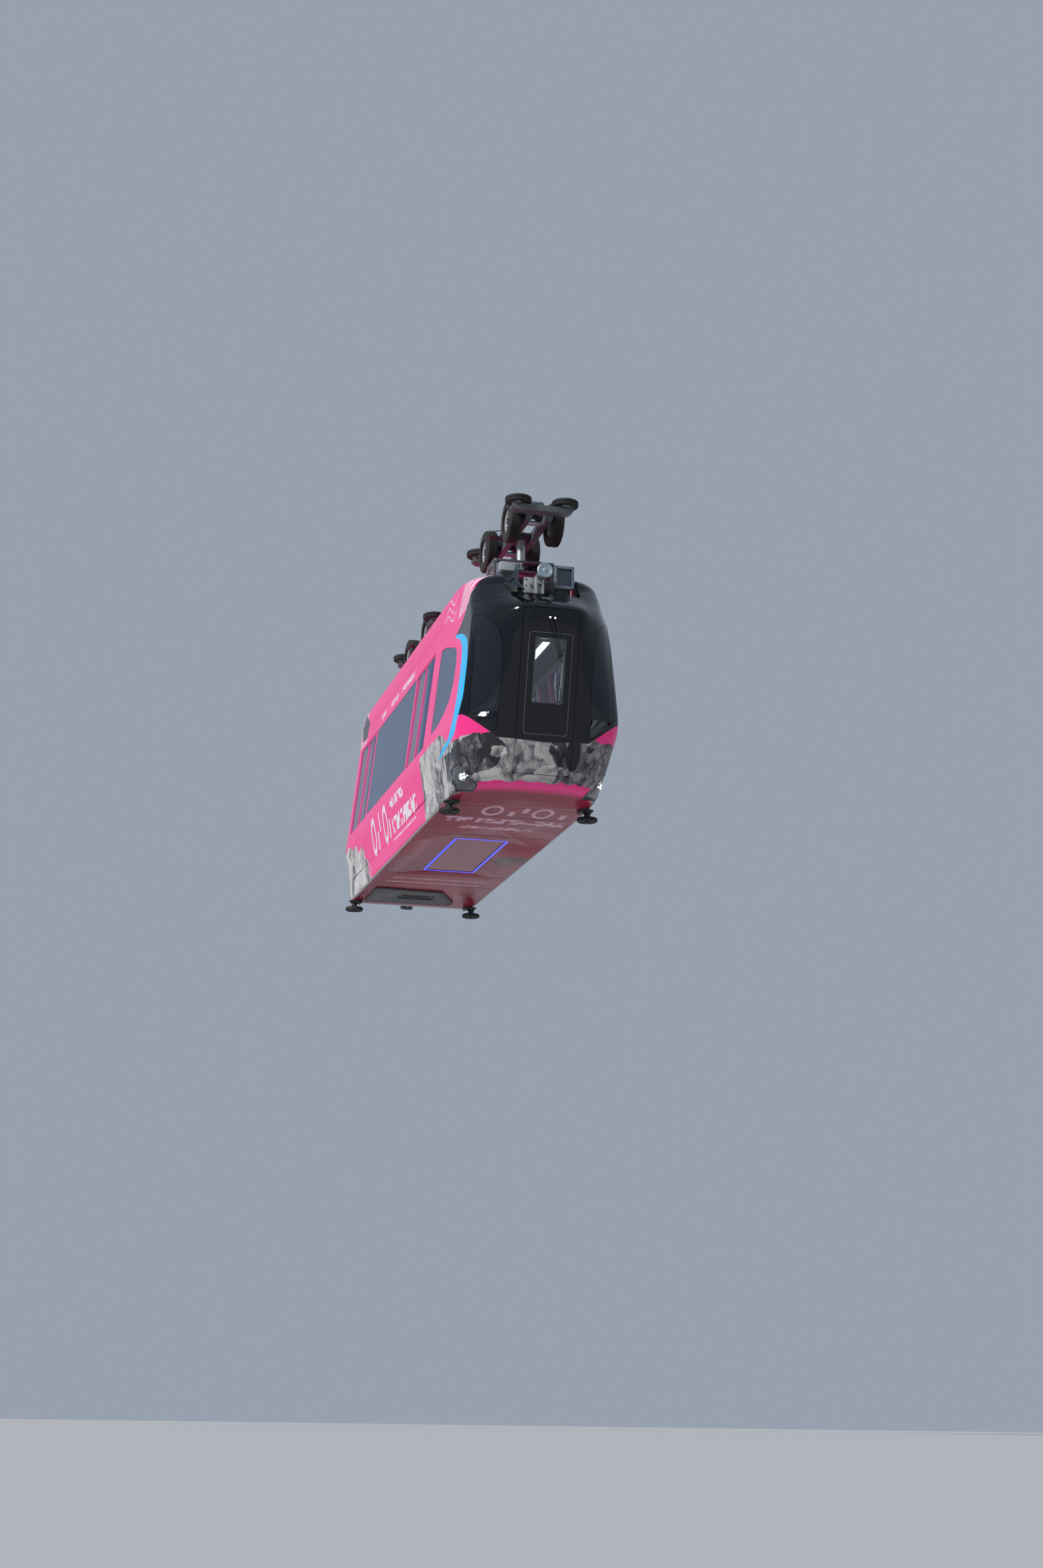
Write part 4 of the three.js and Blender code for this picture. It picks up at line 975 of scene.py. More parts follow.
class Skin:
    """The outer skin of the right half as a grid of points, with the way out at each."""

    NOSE_STEPS = 40
    SIDE_STEPS = 6

    def __init__(self):
        table = np.array(SLICES)
        run = np.linalg.norm(np.diff(table[:, :2], axis=0), axis=1)
        self.knots = np.concatenate([[0], np.cumsum(run)])
        self.table = table
        spots = []
        for a, b in zip(self.knots[:-1], self.knots[1:]):
            steps = max(2, int(math.ceil((b - a) / 0.055)))
            spots += list(np.linspace(a, b, steps, endpoint=False))
        self.spots = np.array([*spots, self.knots[-1]])
        self.rows = hermite(self.knots, table, self.spots)
        self.points = np.array([self.outline(row) for row in self.rows])
        self.normals = self.ways_out()

    def outline(self, row):
        _, half, side, corner_x, corner_y, pillar_x, pillar_y, edge, nose = row
        control = np.array([
            (side, -half), (corner_x, -corner_y), (pillar_x, -pillar_y), (edge, -DOOR_EDGE_Y), (nose, 0),
        ])
        if pillar_y < DOOR_EDGE_Y + 0.12:
            control[3, 1] = -pillar_y * 0.6
        span = np.concatenate([[0], np.cumsum(np.linalg.norm(np.diff(control, axis=0), axis=1) + 1e-6)])
        mirror = control[-2] * (1, -1)
        lead = control[0] - (max(span[1], 0.2), 0)
        extended = np.vstack([lead, control, mirror])
        chord = np.concatenate([[-max(span[1], 0.2)], span, [span[-1] + span[-1] - span[-2]]])
        where = np.linspace(0, span[-1], self.NOSE_STEPS + 1)
        curve = hermite(chord, extended, where)
        straight = np.linspace(REAR_END, side, self.SIDE_STEPS, endpoint=False)
        run = np.column_stack([straight, np.full(self.SIDE_STEPS, -half)])
        plan = np.vstack([run, curve])
        plan[-1, 1] = 0
        return np.column_stack([plan, np.full(len(plan), up(row[0]))])

    def ways_out(self):
        p = self.points
        along = np.gradient(p, axis=1)
        rise = np.gradient(p, axis=0)
        out = np.cross(along, rise)
        length = np.linalg.norm(out, axis=2, keepdims=True)
        weak = length[..., 0] < 1e-9
        out = out / np.maximum(length, 1e-12)
        out[weak] = (0, 0, 1)
        out[:, -1, 1] = 0
        return out / np.maximum(np.linalg.norm(out, axis=2, keepdims=True), 1e-9)

    def rows_between(self, h0, h1):
        """The first and the last grid row that a band between two heights needs, with two to spare."""
        return max(self.row_at(h0) - 2, 0), min(self.row_at(h1) + 2, len(self.points))

    def slab(self, h0, h1, depth, thickness):
        """A closed layer of the skin that starts at a depth and has a thickness, on the right half."""
        low, high = self.rows_between(h0, h1)
        points, out = self.points[low:high], self.normals[low:high]
        outer = points - out * depth
        inner = points - out * (depth + thickness)
        for layer in (outer, inner):
            layer[:, -1, 1] = 0
            layer[..., 1] = np.minimum(layer[..., 1], 0)
            layer[:, 0, 0] = REAR_END
        rows, columns = points.shape[:2]
        rim = [i * columns for i in range(rows - 1, 0, -1)]
        rim += list(range(columns - 1))
        rim += [i * columns + columns - 1 for i in range(rows - 1)]
        rim += [(rows - 1) * columns + j for j in range(columns - 1, 0, -1)]
        return self.between("slab", outer, inner, list(zip(rim, rim[1:] + rim[:1])))

    def volume(self, h0, h1):
        """The closed space between the skin of the right half and the centre plane."""
        low, high = self.rows_between(h0, h1)
        outer = self.points[low:high].copy()
        outer[..., 1] = np.minimum(outer[..., 1], 0)
        rows, columns = outer.shape[:2]
        top = (rows - 1) * columns
        edges = [pair for j in range(columns - 1) for pair in ((j, j + 1), (top + j + 1, top + j))]
        edges += [((i + 1) * columns, i * columns) for i in range(rows - 1)]
        return self.between("volume", outer, outer * (1, 0, 1), edges)

    def between(self, name, outer, inner, edges):
        """A closed mesh from two layers of grid points, walled along these edges."""
        rows, columns = outer.shape[:2]
        count = rows * columns
        faces = grid_faces(rows, columns)
        faces += [tuple(count + k for k in reversed(face)) for face in faces]
        faces += [(b, a, a + count, b + count) for a, b in edges]
        return mesh_of(name, np.concatenate([outer.reshape(-1, 3), inner.reshape(-1, 3)]), faces)

    def row_at(self, height):
        """Index of the first grid row above a height."""
        return int(np.searchsorted(self.points[:, 0, 2], up(height)))


SKIN_FORM = Skin()


def skin_between(h0, h1, depth=0.0, thickness=SKIN):
    return SKIN_FORM.slab(h0, h1, depth, thickness)


# Outlines of the livery and the windows
def smooth_line(points, per_step=6):
    points = np.array(points, float)
    knots = np.concatenate([[0], np.cumsum(np.linalg.norm(np.diff(points, axis=0), axis=1))])
    where = np.concatenate([
        np.linspace(a, b, per_step, endpoint=False) for a, b in zip(knots[:-1], knots[1:])
    ] + [[knots[-1]]])
    return [tuple(p) for p in hermite(knots, points, where)]


STRIPE_TIP = (2.710, 0.816)
STRIPE_OUTER = [
    (3.330, 0.868), (3.820, 0.922), (4.120, 1.012), (4.254, SHELL_TOP), (4.335, 1.330), (4.365, 1.635),
    (4.362, 1.890), (4.330, 2.110), (4.190, 2.322), (3.960, 2.465), (3.710, 2.564), (3.168, 2.705),
]
STRIPE_INNER = [
    (3.258, 2.625), (3.500, 2.550), (3.656, 2.465), (3.849, 2.294), (3.944, 2.005), (3.957, 1.695),
    (3.934, 1.395), (3.860, 1.156), (3.667, 1.010), (3.138, 0.915),
]
MASK_FOOT = (4.254, SHELL_TOP)
BLACK_REAR = [
    (3.168, 2.705), (3.330, 2.722), (3.543, 2.790), (3.762, 2.930), (3.930, 3.060), (4.030, 3.220),
    (4.100, 3.400), (4.170, 3.640),
]
MASK_TOP = [(3.400, 3.010), (3.740, 2.975), (4.500, 2.905), (5.400, 2.830)]
MASK_EDGE = [(-1.400, 1.330), (-1.161, 1.151), (-0.680, 0.790), (0.100, 0.735)]
CAB_WINDOW = [
    (2.170, 1.375), (2.670, 1.405), (3.080, 1.490), (3.375, 1.620), (3.520, 1.840), (3.540, 2.120),
    (3.460, 2.360), (3.270, 2.480), (2.600, 2.675), (2.140, 2.765),
]
CORNER_WINDOW = [
    (-1.086, 1.200), (-0.933, 1.020), (-0.697, 0.860), (-0.690, 1.101), (-0.678, 1.433), (-0.672, 1.911),
    (-0.680, 2.154), (-0.725, 2.335), (-0.811, 2.511), (-0.920, 2.640), (-1.012, 2.705), (-1.045, 2.540),
    (-1.058, 2.367), (-1.033, 2.074), (-1.044, 1.866), (-1.072, 1.570),
]
LAMP_HOUSING = [
    (-1.160, 0.560), (-1.160, 0.440), (-1.112, 0.300), (-1.062, 0.196), (-0.775, 0.168), (-0.890, 0.262),
    (-0.990, 0.400),
]
LAMP_X = (3.480, 3.990)
OUTSIDE = -1.700
INSIDE = -0.300
CENTRE = 0.100
FRONT = 5.400


def raised(points):
    return [(a, up(h)) for a, h in points]


def side_prism(points, radius=0.0, inside=INSIDE):
    outline = rounded(raised(points), radius) if radius else raised(points)
    return prism(outline, OUTSIDE, inside, "side")


def front_prism(points, radius=0.0, x0=3.0, x1=FRONT):
    outline = rounded(raised(points), radius) if radius else raised(points)
    return prism(outline, x0, x1, "front")


def grown(points, by):
    """The outline moved out by a distance, or in where it is negative, corner by corner."""
    points = [np.array(p, float) for p in points]
    area = sum(a[0] * b[1] - b[0] * a[1] for a, b in zip(points, points[1:] + points[:1]))
    sign = 1 if area > 0 else -1
    result = []
    for before, here, after in zip(points[-1:] + points[:-1], points, points[1:] + points[:1]):
        a = (here - before) / np.linalg.norm(here - before)
        b = (after - here) / np.linalg.norm(after - here)
        out_a, out_b = np.array([a[1], -a[0]]) * sign, np.array([b[1], -b[0]]) * sign
        way = out_a + out_b
        way /= np.linalg.norm(way)
        result.append(tuple(here + way * by / max(way @ out_a, 0.4)))
    return result


def keep(mesh, *tools):
    return combined(mesh, *tools, operation="INTERSECT")


def add_to(mesh, *tools):
    return combined(mesh, *tools, operation="UNION")


def stripe_prism():
    return side_prism([STRIPE_TIP, *smooth_line(STRIPE_OUTER), *smooth_line(STRIPE_INNER)])


def black_side_prism():
    """Everything in side view ahead of the stripe and of the black edge over it."""
    from_foot = [p for p in smooth_line(STRIPE_OUTER) if p[1] >= MASK_FOOT[1] - 1e-6]
    outline = [*from_foot, *smooth_line(BLACK_REAR)[1:], (FRONT, 4.2), (FRONT, MASK_FOOT[1])]
    return side_prism(outline, inside=CENTRE)


def mask_foot_prism():
    """The mask's part below its outer corner, in front view."""
    return front_prism([*MASK_EDGE, (CENTRE, 1.200), (-1.400, 1.350)], x0=4.10)


# The doorway in the nose, and the gap that is left round its door
NOSE_DOOR = {"half": 0.425, "heights": (0.310, 2.640)}
NOSE_GAP = 0.008
NOSE_GLASS_SIZE = {"half": 0.243, "heights": (1.286, 2.237)}


def half_door(half, heights, x0=4.1, radius=0.05):
    """The right half of an upright opening in front view, rounded at its outer corners."""
    return front_prism(rectangle(-half, CENTRE, *heights), [radius, 0, 0, radius], x0=x0)


def nose_door_prism(by):
    h0, h1 = NOSE_DOOR["heights"]
    return half_door(NOSE_DOOR["half"] + by, (h0 - by, h1 + by))


DOOR_FOOT = {"x": 4.440, "lean": 0.209}
DOOR_LIP = {"depth": 0.015, "inset": 0.016}


def under_foot(clear):
    """Everything under the door's foot, which is cut square to its leaning hinge."""
    base = NOSE_DOOR["heights"][0] - clear
    behind, ahead = (base + (DOOR_FOOT["x"] - x) * DOOR_FOOT["lean"] for x in (3.0, FRONT))
    return side_prism([(3.0, base - 0.3), (FRONT, base - 0.3), (FRONT, ahead), (3.0, behind)], inside=CENTRE)


def nose_hole():
    return combined(nose_door_prism(NOSE_GAP), under_foot(NOSE_GAP))


SKIN_TREE = bvhtree.BVHTree.FromPolygons(
    SKIN_FORM.points.reshape(-1, 3).tolist(),
    grid_faces(*SKIN_FORM.points.shape[:2]),
)


def skin_way_out(place):
    """The skin's smooth outward direction nearest to a point, or None away from the skin."""
    side = -1 if place.y > 0 else 1
    spot, _, face, _ = SKIN_TREE.find_nearest(Vector((place.x, place.y * side, place.z)), 0.012)
    if spot is None:
        return None
    columns = SKIN_FORM.points.shape[1]
    i, j = divmod(face, columns - 1)
    corner, across, upward = (Vector(SKIN_FORM.points[a, b]) for a, b in ((i, j), (i, j + 1), (i + 1, j)))
    along, rise = across - corner, upward - corner
    u = min(max((spot - corner).dot(along) / max(along.length_squared, 1e-9), 0), 1)
    v = min(max((spot - corner).dot(rise) / max(rise.length_squared, 1e-9), 0), 1)
    n = SKIN_FORM.normals
    way = ((1 - u) * (1 - v) * n[i, j] + u * (1 - v) * n[i, j + 1]
           + (1 - u) * v * n[i + 1, j] + u * v * n[i + 1, j + 1])
    return Vector((way[0], way[1] * side, way[2])).normalized()


def follow_skin(mesh):
    """Shades the faces that lie on the skin by the skin's own smooth directions."""
    ways = [skin_way_out(v.co) for v in mesh.vertices]
    normals = [c.vector.copy() for c in mesh.corner_normals]
    for face in mesh.polygons:
        for k in face.loop_indices:
            way = ways[mesh.loops[k].vertex_index]
            if way is not None and way.dot(face.normal) > 0.93:
                normals[k] = way
    mesh.normals_split_custom_set(normals)


def towards_cabin(face):
    return face.center.y * face.normal.y < -0.25


def looks_down(face):
    return face.normal.z < -0.75


def inside_nose(face):
    inward = face.center.y * face.normal.y < -0.15 or face.normal.x < -0.5
    return inward and face.center.z > up(0.22) and skin_way_out(face.center) is None


def paint_halves(name, mesh, material, replaces=(), bevel=0.003, body=BODY, second=()):
    return shown(name, both_halves(mesh), material, body, replaces, bevel, on_skin=True, second=second)


def paint_sides(name, mesh, material, nodes=None, bevel=0.003, second=()):
    """The same piece on the right and, as its mirror image, on the left."""
    for side_name, side in SIDES.items():
        replaced = () if nodes is None else f"{nodes}_{side_name}"
        shown(f"{name}_{side_name}", sided(mesh, side), material, BODY, replaced, bevel,
              on_skin=True, second=second)


# Side: wall, stripe, windows and doors
DOOR_GAP = 0.012
DOOR_TOP_GAP = 0.022


def make_side_walls():
    outline = [
        (END_WALL_FACE, THRESHOLD), (NOSE_SEAM, THRESHOLD), (NOSE_SEAM, SHELL_TOP), (4.700, SHELL_TOP),
        (4.700, 2.880), (3.740, 2.969), (FAIRING_SEAM, 2.9875), (FAIRING_SEAM, ROOF_SEAM),
        (END_WALL_FACE, ROOF_SEAM),
    ]
    wall = keep(skin_between(THRESHOLD, ROOF_SEAM), side_prism(outline, inside=-0.6))
    holes = [side_prism(rectangle(*SIDE_WINDOW, SILL, BAND_TOP), 0.025), side_prism(CAB_WINDOW, 0.09)]
    holes += [side_prism(rectangle(*span, THRESHOLD - 0.03, BAND_TOP + DOOR_TOP_GAP), 0.02)
              for span in DOORWAYS.values()]
    wall = combined(wall, *holes, stripe_prism(), black_side_prism())
    paint_sides("side_panel", wall, LIVERY, "side_wall", second=[(LINING, towards_cabin)])


def make_stripe():
    band = keep(skin_between(0.70, 2.85, depth=0.0, thickness=0.03), stripe_prism())
    paint_sides("cyan_stripe", band, STRIPE, bevel=0.0, second=[(CAB_LINING, inside_nose)])


def make_side_glass():
    flush = 0.003
    window = rectangle(*SIDE_WINDOW, SILL, BAND_TOP)
    pane = skin_between(SILL, BAND_TOP, flush, GLASS)
    big = keep(pane, side_prism(grown(window, -0.006), 0.02))
    paint_sides("side_window_glass", big, SIDE_GLASS, "side_window", 0.0015)
    pane = skin_between(1.30, 2.85, flush, GLASS)
    cab = keep(pane, side_prism(grown(CAB_WINDOW, -0.006), 0.085))
    paint_sides("cab_window_glass", cab, SIDE_GLASS, "cab_window", 0.0015)
    # Black rubber behind each pane's edge
    seat = skin_between(1.28, 2.90, 0.012, 0.02)
    for i, (line, reach) in enumerate(((window, 0.05), (CAB_WINDOW, 0.045))):
        outside, inside = (side_prism(grown(line, by), 0.03) for by in (0.01, -reach))
        ring = combined(keep(seat.copy(), outside), inside)
        paint_sides(f"window_seal_{i}", ring, SEAL, bevel=0.0)


def make_side_doors():
    for place, (x0, x1) in DOORWAYS.items():
        middle = (x0 + x1) / 2
        leaves = {"aft": (x0 + DOOR_GAP, middle - 0.006), "fore": (middle + 0.006, x1 - DOOR_GAP)}
        body = skin_between(THRESHOLD, BAND_TOP, 0.0, SKIN)
        glass_skin = skin_between(DOOR_SILL, BAND_TOP, 0.002, GLASS)
        seal_skin = skin_between(THRESHOLD - 0.03, BAND_TOP + 0.05, 0.018, 0.02)
        panels = None
        for order, (a, b) in leaves.items():
            glazed = rectangle(a + 0.020, b - 0.020, DOOR_SILL, BAND_TOP - 0.02)
            leaf = keep(body.copy(), side_prism(rectangle(a, b, THRESHOLD + 0.016, BAND_TOP), 0.02))
            leaf = combined(leaf, side_prism(glazed, 0.02))
            panels = leaf if panels is None else add_to(panels, leaf)
            pane = keep(glass_skin.copy(), side_prism(grown(glazed, -0.003), 0.018))
            for side_name, side in SIDES.items():
                label = f"{place}_{side_name}_{order}"
                shown(f"door_pane_{label}", sided(pane, side), SIDE_GLASS, BODY, f"door_glass_{label}",
                      0.0015)
        paint_sides(f"door_leaves_{place}", panels, LIVERY, f"side_door_{place}",
                    second=[(LINING, towards_cabin)])
        # Rubber seals round the leaves and between them
        frame_line = rectangle(x0 - 0.02, x1 + 0.02, THRESHOLD - 0.02, BAND_TOP + 0.04)
        seals = keep(seal_skin, side_prism(frame_line, 0.02))
        for span in leaves.values():
            inner_line = rectangle(*widened(span, -0.010), THRESHOLD + 0.03, BAND_TOP - 0.012)
            seals = combined(seals, side_prism(inner_line, 0.02))
        paint_sides(f"door_seals_{place}", seals, SEAL, bevel=0.0)


# Nose: lower shell, black mask, corner windows and roof fairing
def right_box(x0, x1, top):
    """The space of the right half between two places along the car, up to a level."""
    return box_mesh((x0, -1.6, up(0.0)), (x1, CENTRE, top))


def make_nose():
    chin = skin_between(UNDERSIDE, 1.30)
    below = [(-1.400, 0.100), (CENTRE, 0.100), *MASK_EDGE[:0:-1], (-1.400, SHELL_TOP)]
    side_zone = side_prism(rectangle(NOSE_SEAM, 4.300, 0.05, SHELL_TOP), inside=CENTRE)
    chin_zone = add_to(front_prism(below, x0=4.28), side_zone)
    chin = keep(chin, chin_zone)
    floor = keep(SKIN_FORM.volume(UNDERSIDE, THRESHOLD), right_box(NOSE_SEAM, FRONT, up(THRESHOLD)))
    chin = add_to(chin, floor)
    lamp_cut = front_prism(LAMP_HOUSING, 0.03, *LAMP_X)
    pocket = keep(skin_between(UNDERSIDE, 0.62, -0.02, 0.06), lamp_cut)
    chin = combined(chin, nose_hole(), stripe_prism(), pocket)
    paint_halves("nose_shell", chin, LIVERY, "nose_lower_shell",
                 second=[(BELLY_PAINT, looks_down), (CAB_LINING, inside_nose)])

    mask = skin_between(0.70, 3.05)
    ahead = add_to(black_side_prism(), mask_foot_prism())
    top = [(3.0, 0.6), (FRONT, 0.6), *MASK_TOP[::-1], (3.0, 3.04)]
    mask = keep(mask, ahead, side_prism(top, inside=CENTRE))
    mask = combined(mask, nose_hole(), stripe_prism(), front_prism(CORNER_WINDOW, 0.03, x0=4.15))
    paint_halves("nose_mask_shell", mask, MASK_PAINT, "nose_mask",
                 second=[(CAB_LINING, inside_nose)])
    make_corner_windows()


def make_corner_windows():
    inside_line, outside_line = grown(CORNER_WINDOW, -0.006), grown(CORNER_WINDOW, 0.012)
    pane = keep(skin_between(0.80, 2.75, 0.002, GLASS), front_prism(inside_line, 0.03, x0=4.15))
    ring = keep(skin_between(0.75, 2.80, 0.012, 0.02), front_prism(outside_line, 0.04, x0=4.10))
    ring = combined(ring, front_prism(grown(CORNER_WINDOW, -0.045), 0.03, x0=4.05))
    pane, ring = keep(pane, black_side_prism()), keep(ring, black_side_prism())
    paint_sides("corner_window_glass", pane, NOSE_GLASS, "corner_window", 0.0015)
    paint_sides("corner_window_seal", ring, SEAL, bevel=0.0)


RECESS = {"x": 3.660, "half": 0.560, "h": 3.010}


def make_fairing():
    whole = SKIN_FORM.volume(2.80, ABOVE_ROOF)
    over = [*MASK_TOP, (FRONT, 4.0), (FAIRING_SEAM, 4.0), (FAIRING_SEAM, 2.99)]
    over[0] = (FAIRING_SEAM, 2.9935)
    whole = keep(whole, side_prism([(a, h + 0.006) for a, h in over], inside=CENTRE))
    pit = rounded_plate((-RECESS["half"], CENTRE), (up(RECESS["h"]), 0.2), [0.06, 0, 0, 0],
                        RECESS["x"], FRONT, "front")
    whole = combined(whole, pit)
    paint_halves("fairing_rear", combined(whole.copy(), black_side_prism()), LIVERY)
    front = keep(whole, black_side_prism())
    paint_halves("fairing_front", front, MASK_PAINT, "roof_front_fairing")


# Roof, end wall and floor
def make_roof():
    outline = rectangle(END_WALL_FACE, FAIRING_SEAM - 0.005, ROOF_SEAM + 0.006, 4.0)
    roof = keep(skin_between(ROOF_SEAM, ABOVE_ROOF), side_prism(outline, inside=CENTRE))
    paint_halves("roof_skin", roof, LIVERY, "roof_shell")


GANGWAY = {"half": 0.550, "top": 2.560}


def make_end_wall():
    wall = keep(SKIN_FORM.volume(UNDERSIDE, ABOVE_ROOF), right_box(-5.2, END_WALL_FACE, 0.2))
    doorway = rounded_plate((-GANGWAY["half"], CENTRE), (up(THRESHOLD), up(GANGWAY["top"])), [0, 0, 0, 0.08],
                            -5.2, -4.8, "front")
    footplate = raised_box((-5.40, -4.94), (-0.50, CENTRE), (0.440, 0.480))
    footplate = keep(footplate, raised_box((-5.6, -4.8), (-1, 0.0), (0.0, 1.0)))
    paint_halves("end_wall", combined(wall, doorway), PALE_METAL, "rear_end_wall")
    paint_halves("gangway_footplate", footplate, DARK_METAL, (), 0.004)


def make_floor():
    pan = keep(SKIN_FORM.volume(UNDERSIDE, THRESHOLD),
               right_box(END_WALL_FACE, NOSE_SEAM - 0.004, up(THRESHOLD - 0.004)))
    hole = rounded_plate(FLOOR_WINDOW["x"], (-FLOOR_WINDOW["y"], CENTRE), [0.05, 0.05, 0, 0],
                         up(0.0), up(0.6))
    paint_halves("floor_shell", combined(pan, hole), LIVERY, "floor_pan", bevel=0.006,
                 second=[(BELLY_PAINT, looks_down)])


make_side_walls()
make_stripe()
make_side_glass()
make_side_doors()
make_nose()
make_fairing()
make_roof()
make_end_wall()
make_floor()


# Emergency door in the nose, with its glass, frame line and wiper, and a painted highlight glowing in each
# wiper pivot
def nose_point(y, h, out=0.0):
    """The point of the nose's skin at a distance from the middle and a height, moved outwards."""
    row = float(np.interp(up(h), SKIN_FORM.points[:, 0, 2], np.arange(len(SKIN_FORM.points))))
    i, part = int(row), row - int(row)
    xs = []
    for k in (i, min(i + 1, len(SKIN_FORM.points) - 1)):
        line = SKIN_FORM.points[k, -24:]
        xs.append(float(np.interp(-abs(y), line[:, 1], line[:, 0])))
    return Vector((xs[0] * (1 - part) + xs[1] * part + out, y, up(h)))


FRAME_LINE = {"half": 0.330, "heights": (0.845, 2.297), "width": 0.009}
WIPER_PIVOTS = [(-0.045, 2.500), (0.030, 2.495)]


def make_emergency_door():
    lip, inset = DOOR_LIP["depth"], DOOR_LIP["inset"]
    leaf = keep(skin_between(0.25, 2.75, 0.0, lip), nose_door_prism(0.0))
    inner = keep(skin_between(0.25, 2.75, lip - 0.001, SKIN - lip), nose_door_prism(-inset))
    leaf = combined(add_to(leaf, inner), under_foot(0.0))
    half, heights = NOSE_GLASS_SIZE["half"], NOSE_GLASS_SIZE["heights"]
    leaf = combined(leaf, half_door(half, heights, radius=0.03))
    line_half, line_heights, width = FRAME_LINE["half"], FRAME_LINE["heights"], FRAME_LINE["width"]
    outer_line = half_door(line_half, line_heights)
    inner_line = half_door(line_half - width, widened(line_heights, -width), radius=0.042)
    shallow = skin_between(0.6, 2.5, -0.01, 0.016)
    leaf = combined(leaf, combined(keep(shallow, outer_line), inner_line))
    split = [*MASK_EDGE[2:], (CENTRE, 3.2), (-1.4, 3.2), (-1.4, 1.33)]
    upper = keep(leaf.copy(), front_prism(split, x0=4.0))
    lower = combined(leaf, front_prism([(a, h - 0.001) for a, h in split], x0=4.0))
    bright = combined(keep(skin_between(0.6, 2.5, 0.003, 0.006), outer_line), inner_line)

    def opening(by, radius):
        return half_door(half + by, widened(heights, by), radius=radius)

    pane = keep(skin_between(1.2, 2.3, 0.004, GLASS), opening(-0.004, 0.027))
    seal = combined(keep(skin_between(1.1, 2.4, 0.013, 0.02), opening(0.01, 0.03)), opening(-0.025, 0.02))
    parts = [
        (soft(both_halves(upper), 0.003), MASK_PAINT), (soft(both_halves(lower), 0.003), LIVERY),
        (both_halves(bright), FRAME_INK), (both_halves(seal), SEAL),
    ]
    assembled("emergency_door_leaf", parts, DOOR, "emergency_door", 30, on_skin=True)
    shown("emergency_door_window", both_halves(pane), DOOR_GLASS, DOOR, "emergency_door_glass",
          0.0015)
    make_wiper()
    rebate = keep(skin_between(0.25, 2.75, 0.047, 0.02), nose_door_prism(0.03))
    rebate = combined(rebate, nose_door_prism(-0.03))
    shown("emergency_door_seal", both_halves(rebate), SEAL, BODY, (), 0.002)


def make_wiper():
    """Two arms from the pivots to the blade's middle, the sprung blade, and a painted highlight in each
    pivot: a small glowing disc.
    """
    parts = []
    joint = nose_point(0.180, 1.86, 0.040)
    for y, h in WIPER_PIVOTS:
        root, tip = nose_point(y, h, -0.005), nose_point(y, h, 0.036)
        elbow = nose_point(y * 0.5 + 0.09, (h + 1.86) / 2, 0.042)
        arm = tube([tip - Vector((0.008, 0, 0)), elbow, joint], 0.0065, BLACK_PLASTIC)
        # Each pivot ends in a thin disc that glows as a painted highlight
        parts += [(rod(root, tip, 0.020, 24), BLACK_PLASTIC),
                  (rod(tip, tip + Vector((0.004, 0, 0)), 0.0135, 20), PIVOT_GLINT), (arm, BLACK_PLASTIC)]
    blade, spine = [], []
    for k in range(13):
        y = 0.183 - 0.02 * k / 12
        blade.append(nose_point(y, 2.07 - 0.84 * k / 12, 0.011))
        spine.append(nose_point(y, 2.02 - 0.74 * k / 12, 0.030 - 0.006 * math.cos(math.pi * k / 6)))
    parts += [(tube(blade, 0.006, SEAL, sides=8), SEAL), (tube(spine, 0.005, STEEL, sides=8), WIPER_METAL)]
    claw = block(about(0, 0.012), about(0, 0.010), about(0, 0.018), 0.003)
    parts += [(placed(claw, (blade[k] + spine[k]) / 2), BLACK_PLASTIC) for k in (1, 4, 8, 11)]
    parts.append((rod(joint - Vector((0.03, 0, 0)), joint + Vector((0.012, 0, 0)), 0.011, 16), STEEL))
    assembled("wiper", parts, DOOR, "emergency_door_wiper")


# Headlamps: dark pocket, four-lobed white lamp, small red lamp and a flush cover
LAMP_CENTRE = (-1.050, 0.345)
RED_LAMP = (-0.985, 0.262)


def make_headlamps():
    outline = front_prism(LAMP_HOUSING, 0.03, *LAMP_X)
    pocket = keep(skin_between(0.15, 0.62, 0.0, 0.055), outline)
    inner = front_prism(grown(LAMP_HOUSING, -0.012), 0.024, *LAMP_X)
    pocket = combined(pocket, keep(skin_between(0.15, 0.62, -0.02, 0.052), inner))
    cover_line = front_prism(grown(LAMP_HOUSING, -0.010), 0.026, *LAMP_X)
    cover = keep(skin_between(0.15, 0.62, 0.002, 0.004), cover_line)
    seat = corner_point(*LAMP_CENTRE)
    facing = Vector((0.80, -0.58, -0.16)).normalized()
    turn = facing.to_track_quat("Z", "Y").to_matrix()
    lobes, rims = [], []
    lens = turned([(0, 0.010), (0.014, 0.007), (0.0215, 0.0), (0.0215, -0.012), (0, -0.012)], sides=24)
    rim = turned([(0.0215, -0.010), (0.0275, -0.010), (0.0275, 0.002), (0.0235, 0.004), (0.0215, 0.001)],
                 sides=24)
    for a, b in ((-1, -1), (-1, 1), (1, -1), (1, 1)):
        spot = seat - facing * 0.022 + turn @ Vector((0.0245 * a, 0.0245 * b + 0.006 * a, 0))
        lobes.append(placed(lens, spot, turn))
        rims.append(placed(rim, spot, turn))
    red_spot = corner_point(*RED_LAMP) - facing * 0.022
    red = placed(turned([(0, 0.008), (0.016, 0.004), (0.022, -0.004), (0, -0.004)], sides=20), red_spot, turn)
    plate = turned([(0, -0.012), (0.072, -0.012), (0.076, -0.020), (0, -0.020)], sides=32)
    plate = placed(plate, seat - facing * 0.02, turn)
    parts = [(soft(pocket, 0.002), BLACK_PLASTIC), (red, RED_LIGHT), (plate, PALE_METAL)]
    parts += [(m, LAMP_LIGHT) for m in lobes] + [(m, STEEL) for m in rims]
    for side_name, side in SIDES.items():
        here = [(sided(m, side), material) for m, material in parts]
        assembled(f"headlamp_unit_{side_name}", here, BODY, f"headlamp_{side_name}")
        shown(f"headlamp_cover_{side_name}", sided(cover, side), LAMP_GLASS, BODY, (), 0.001)


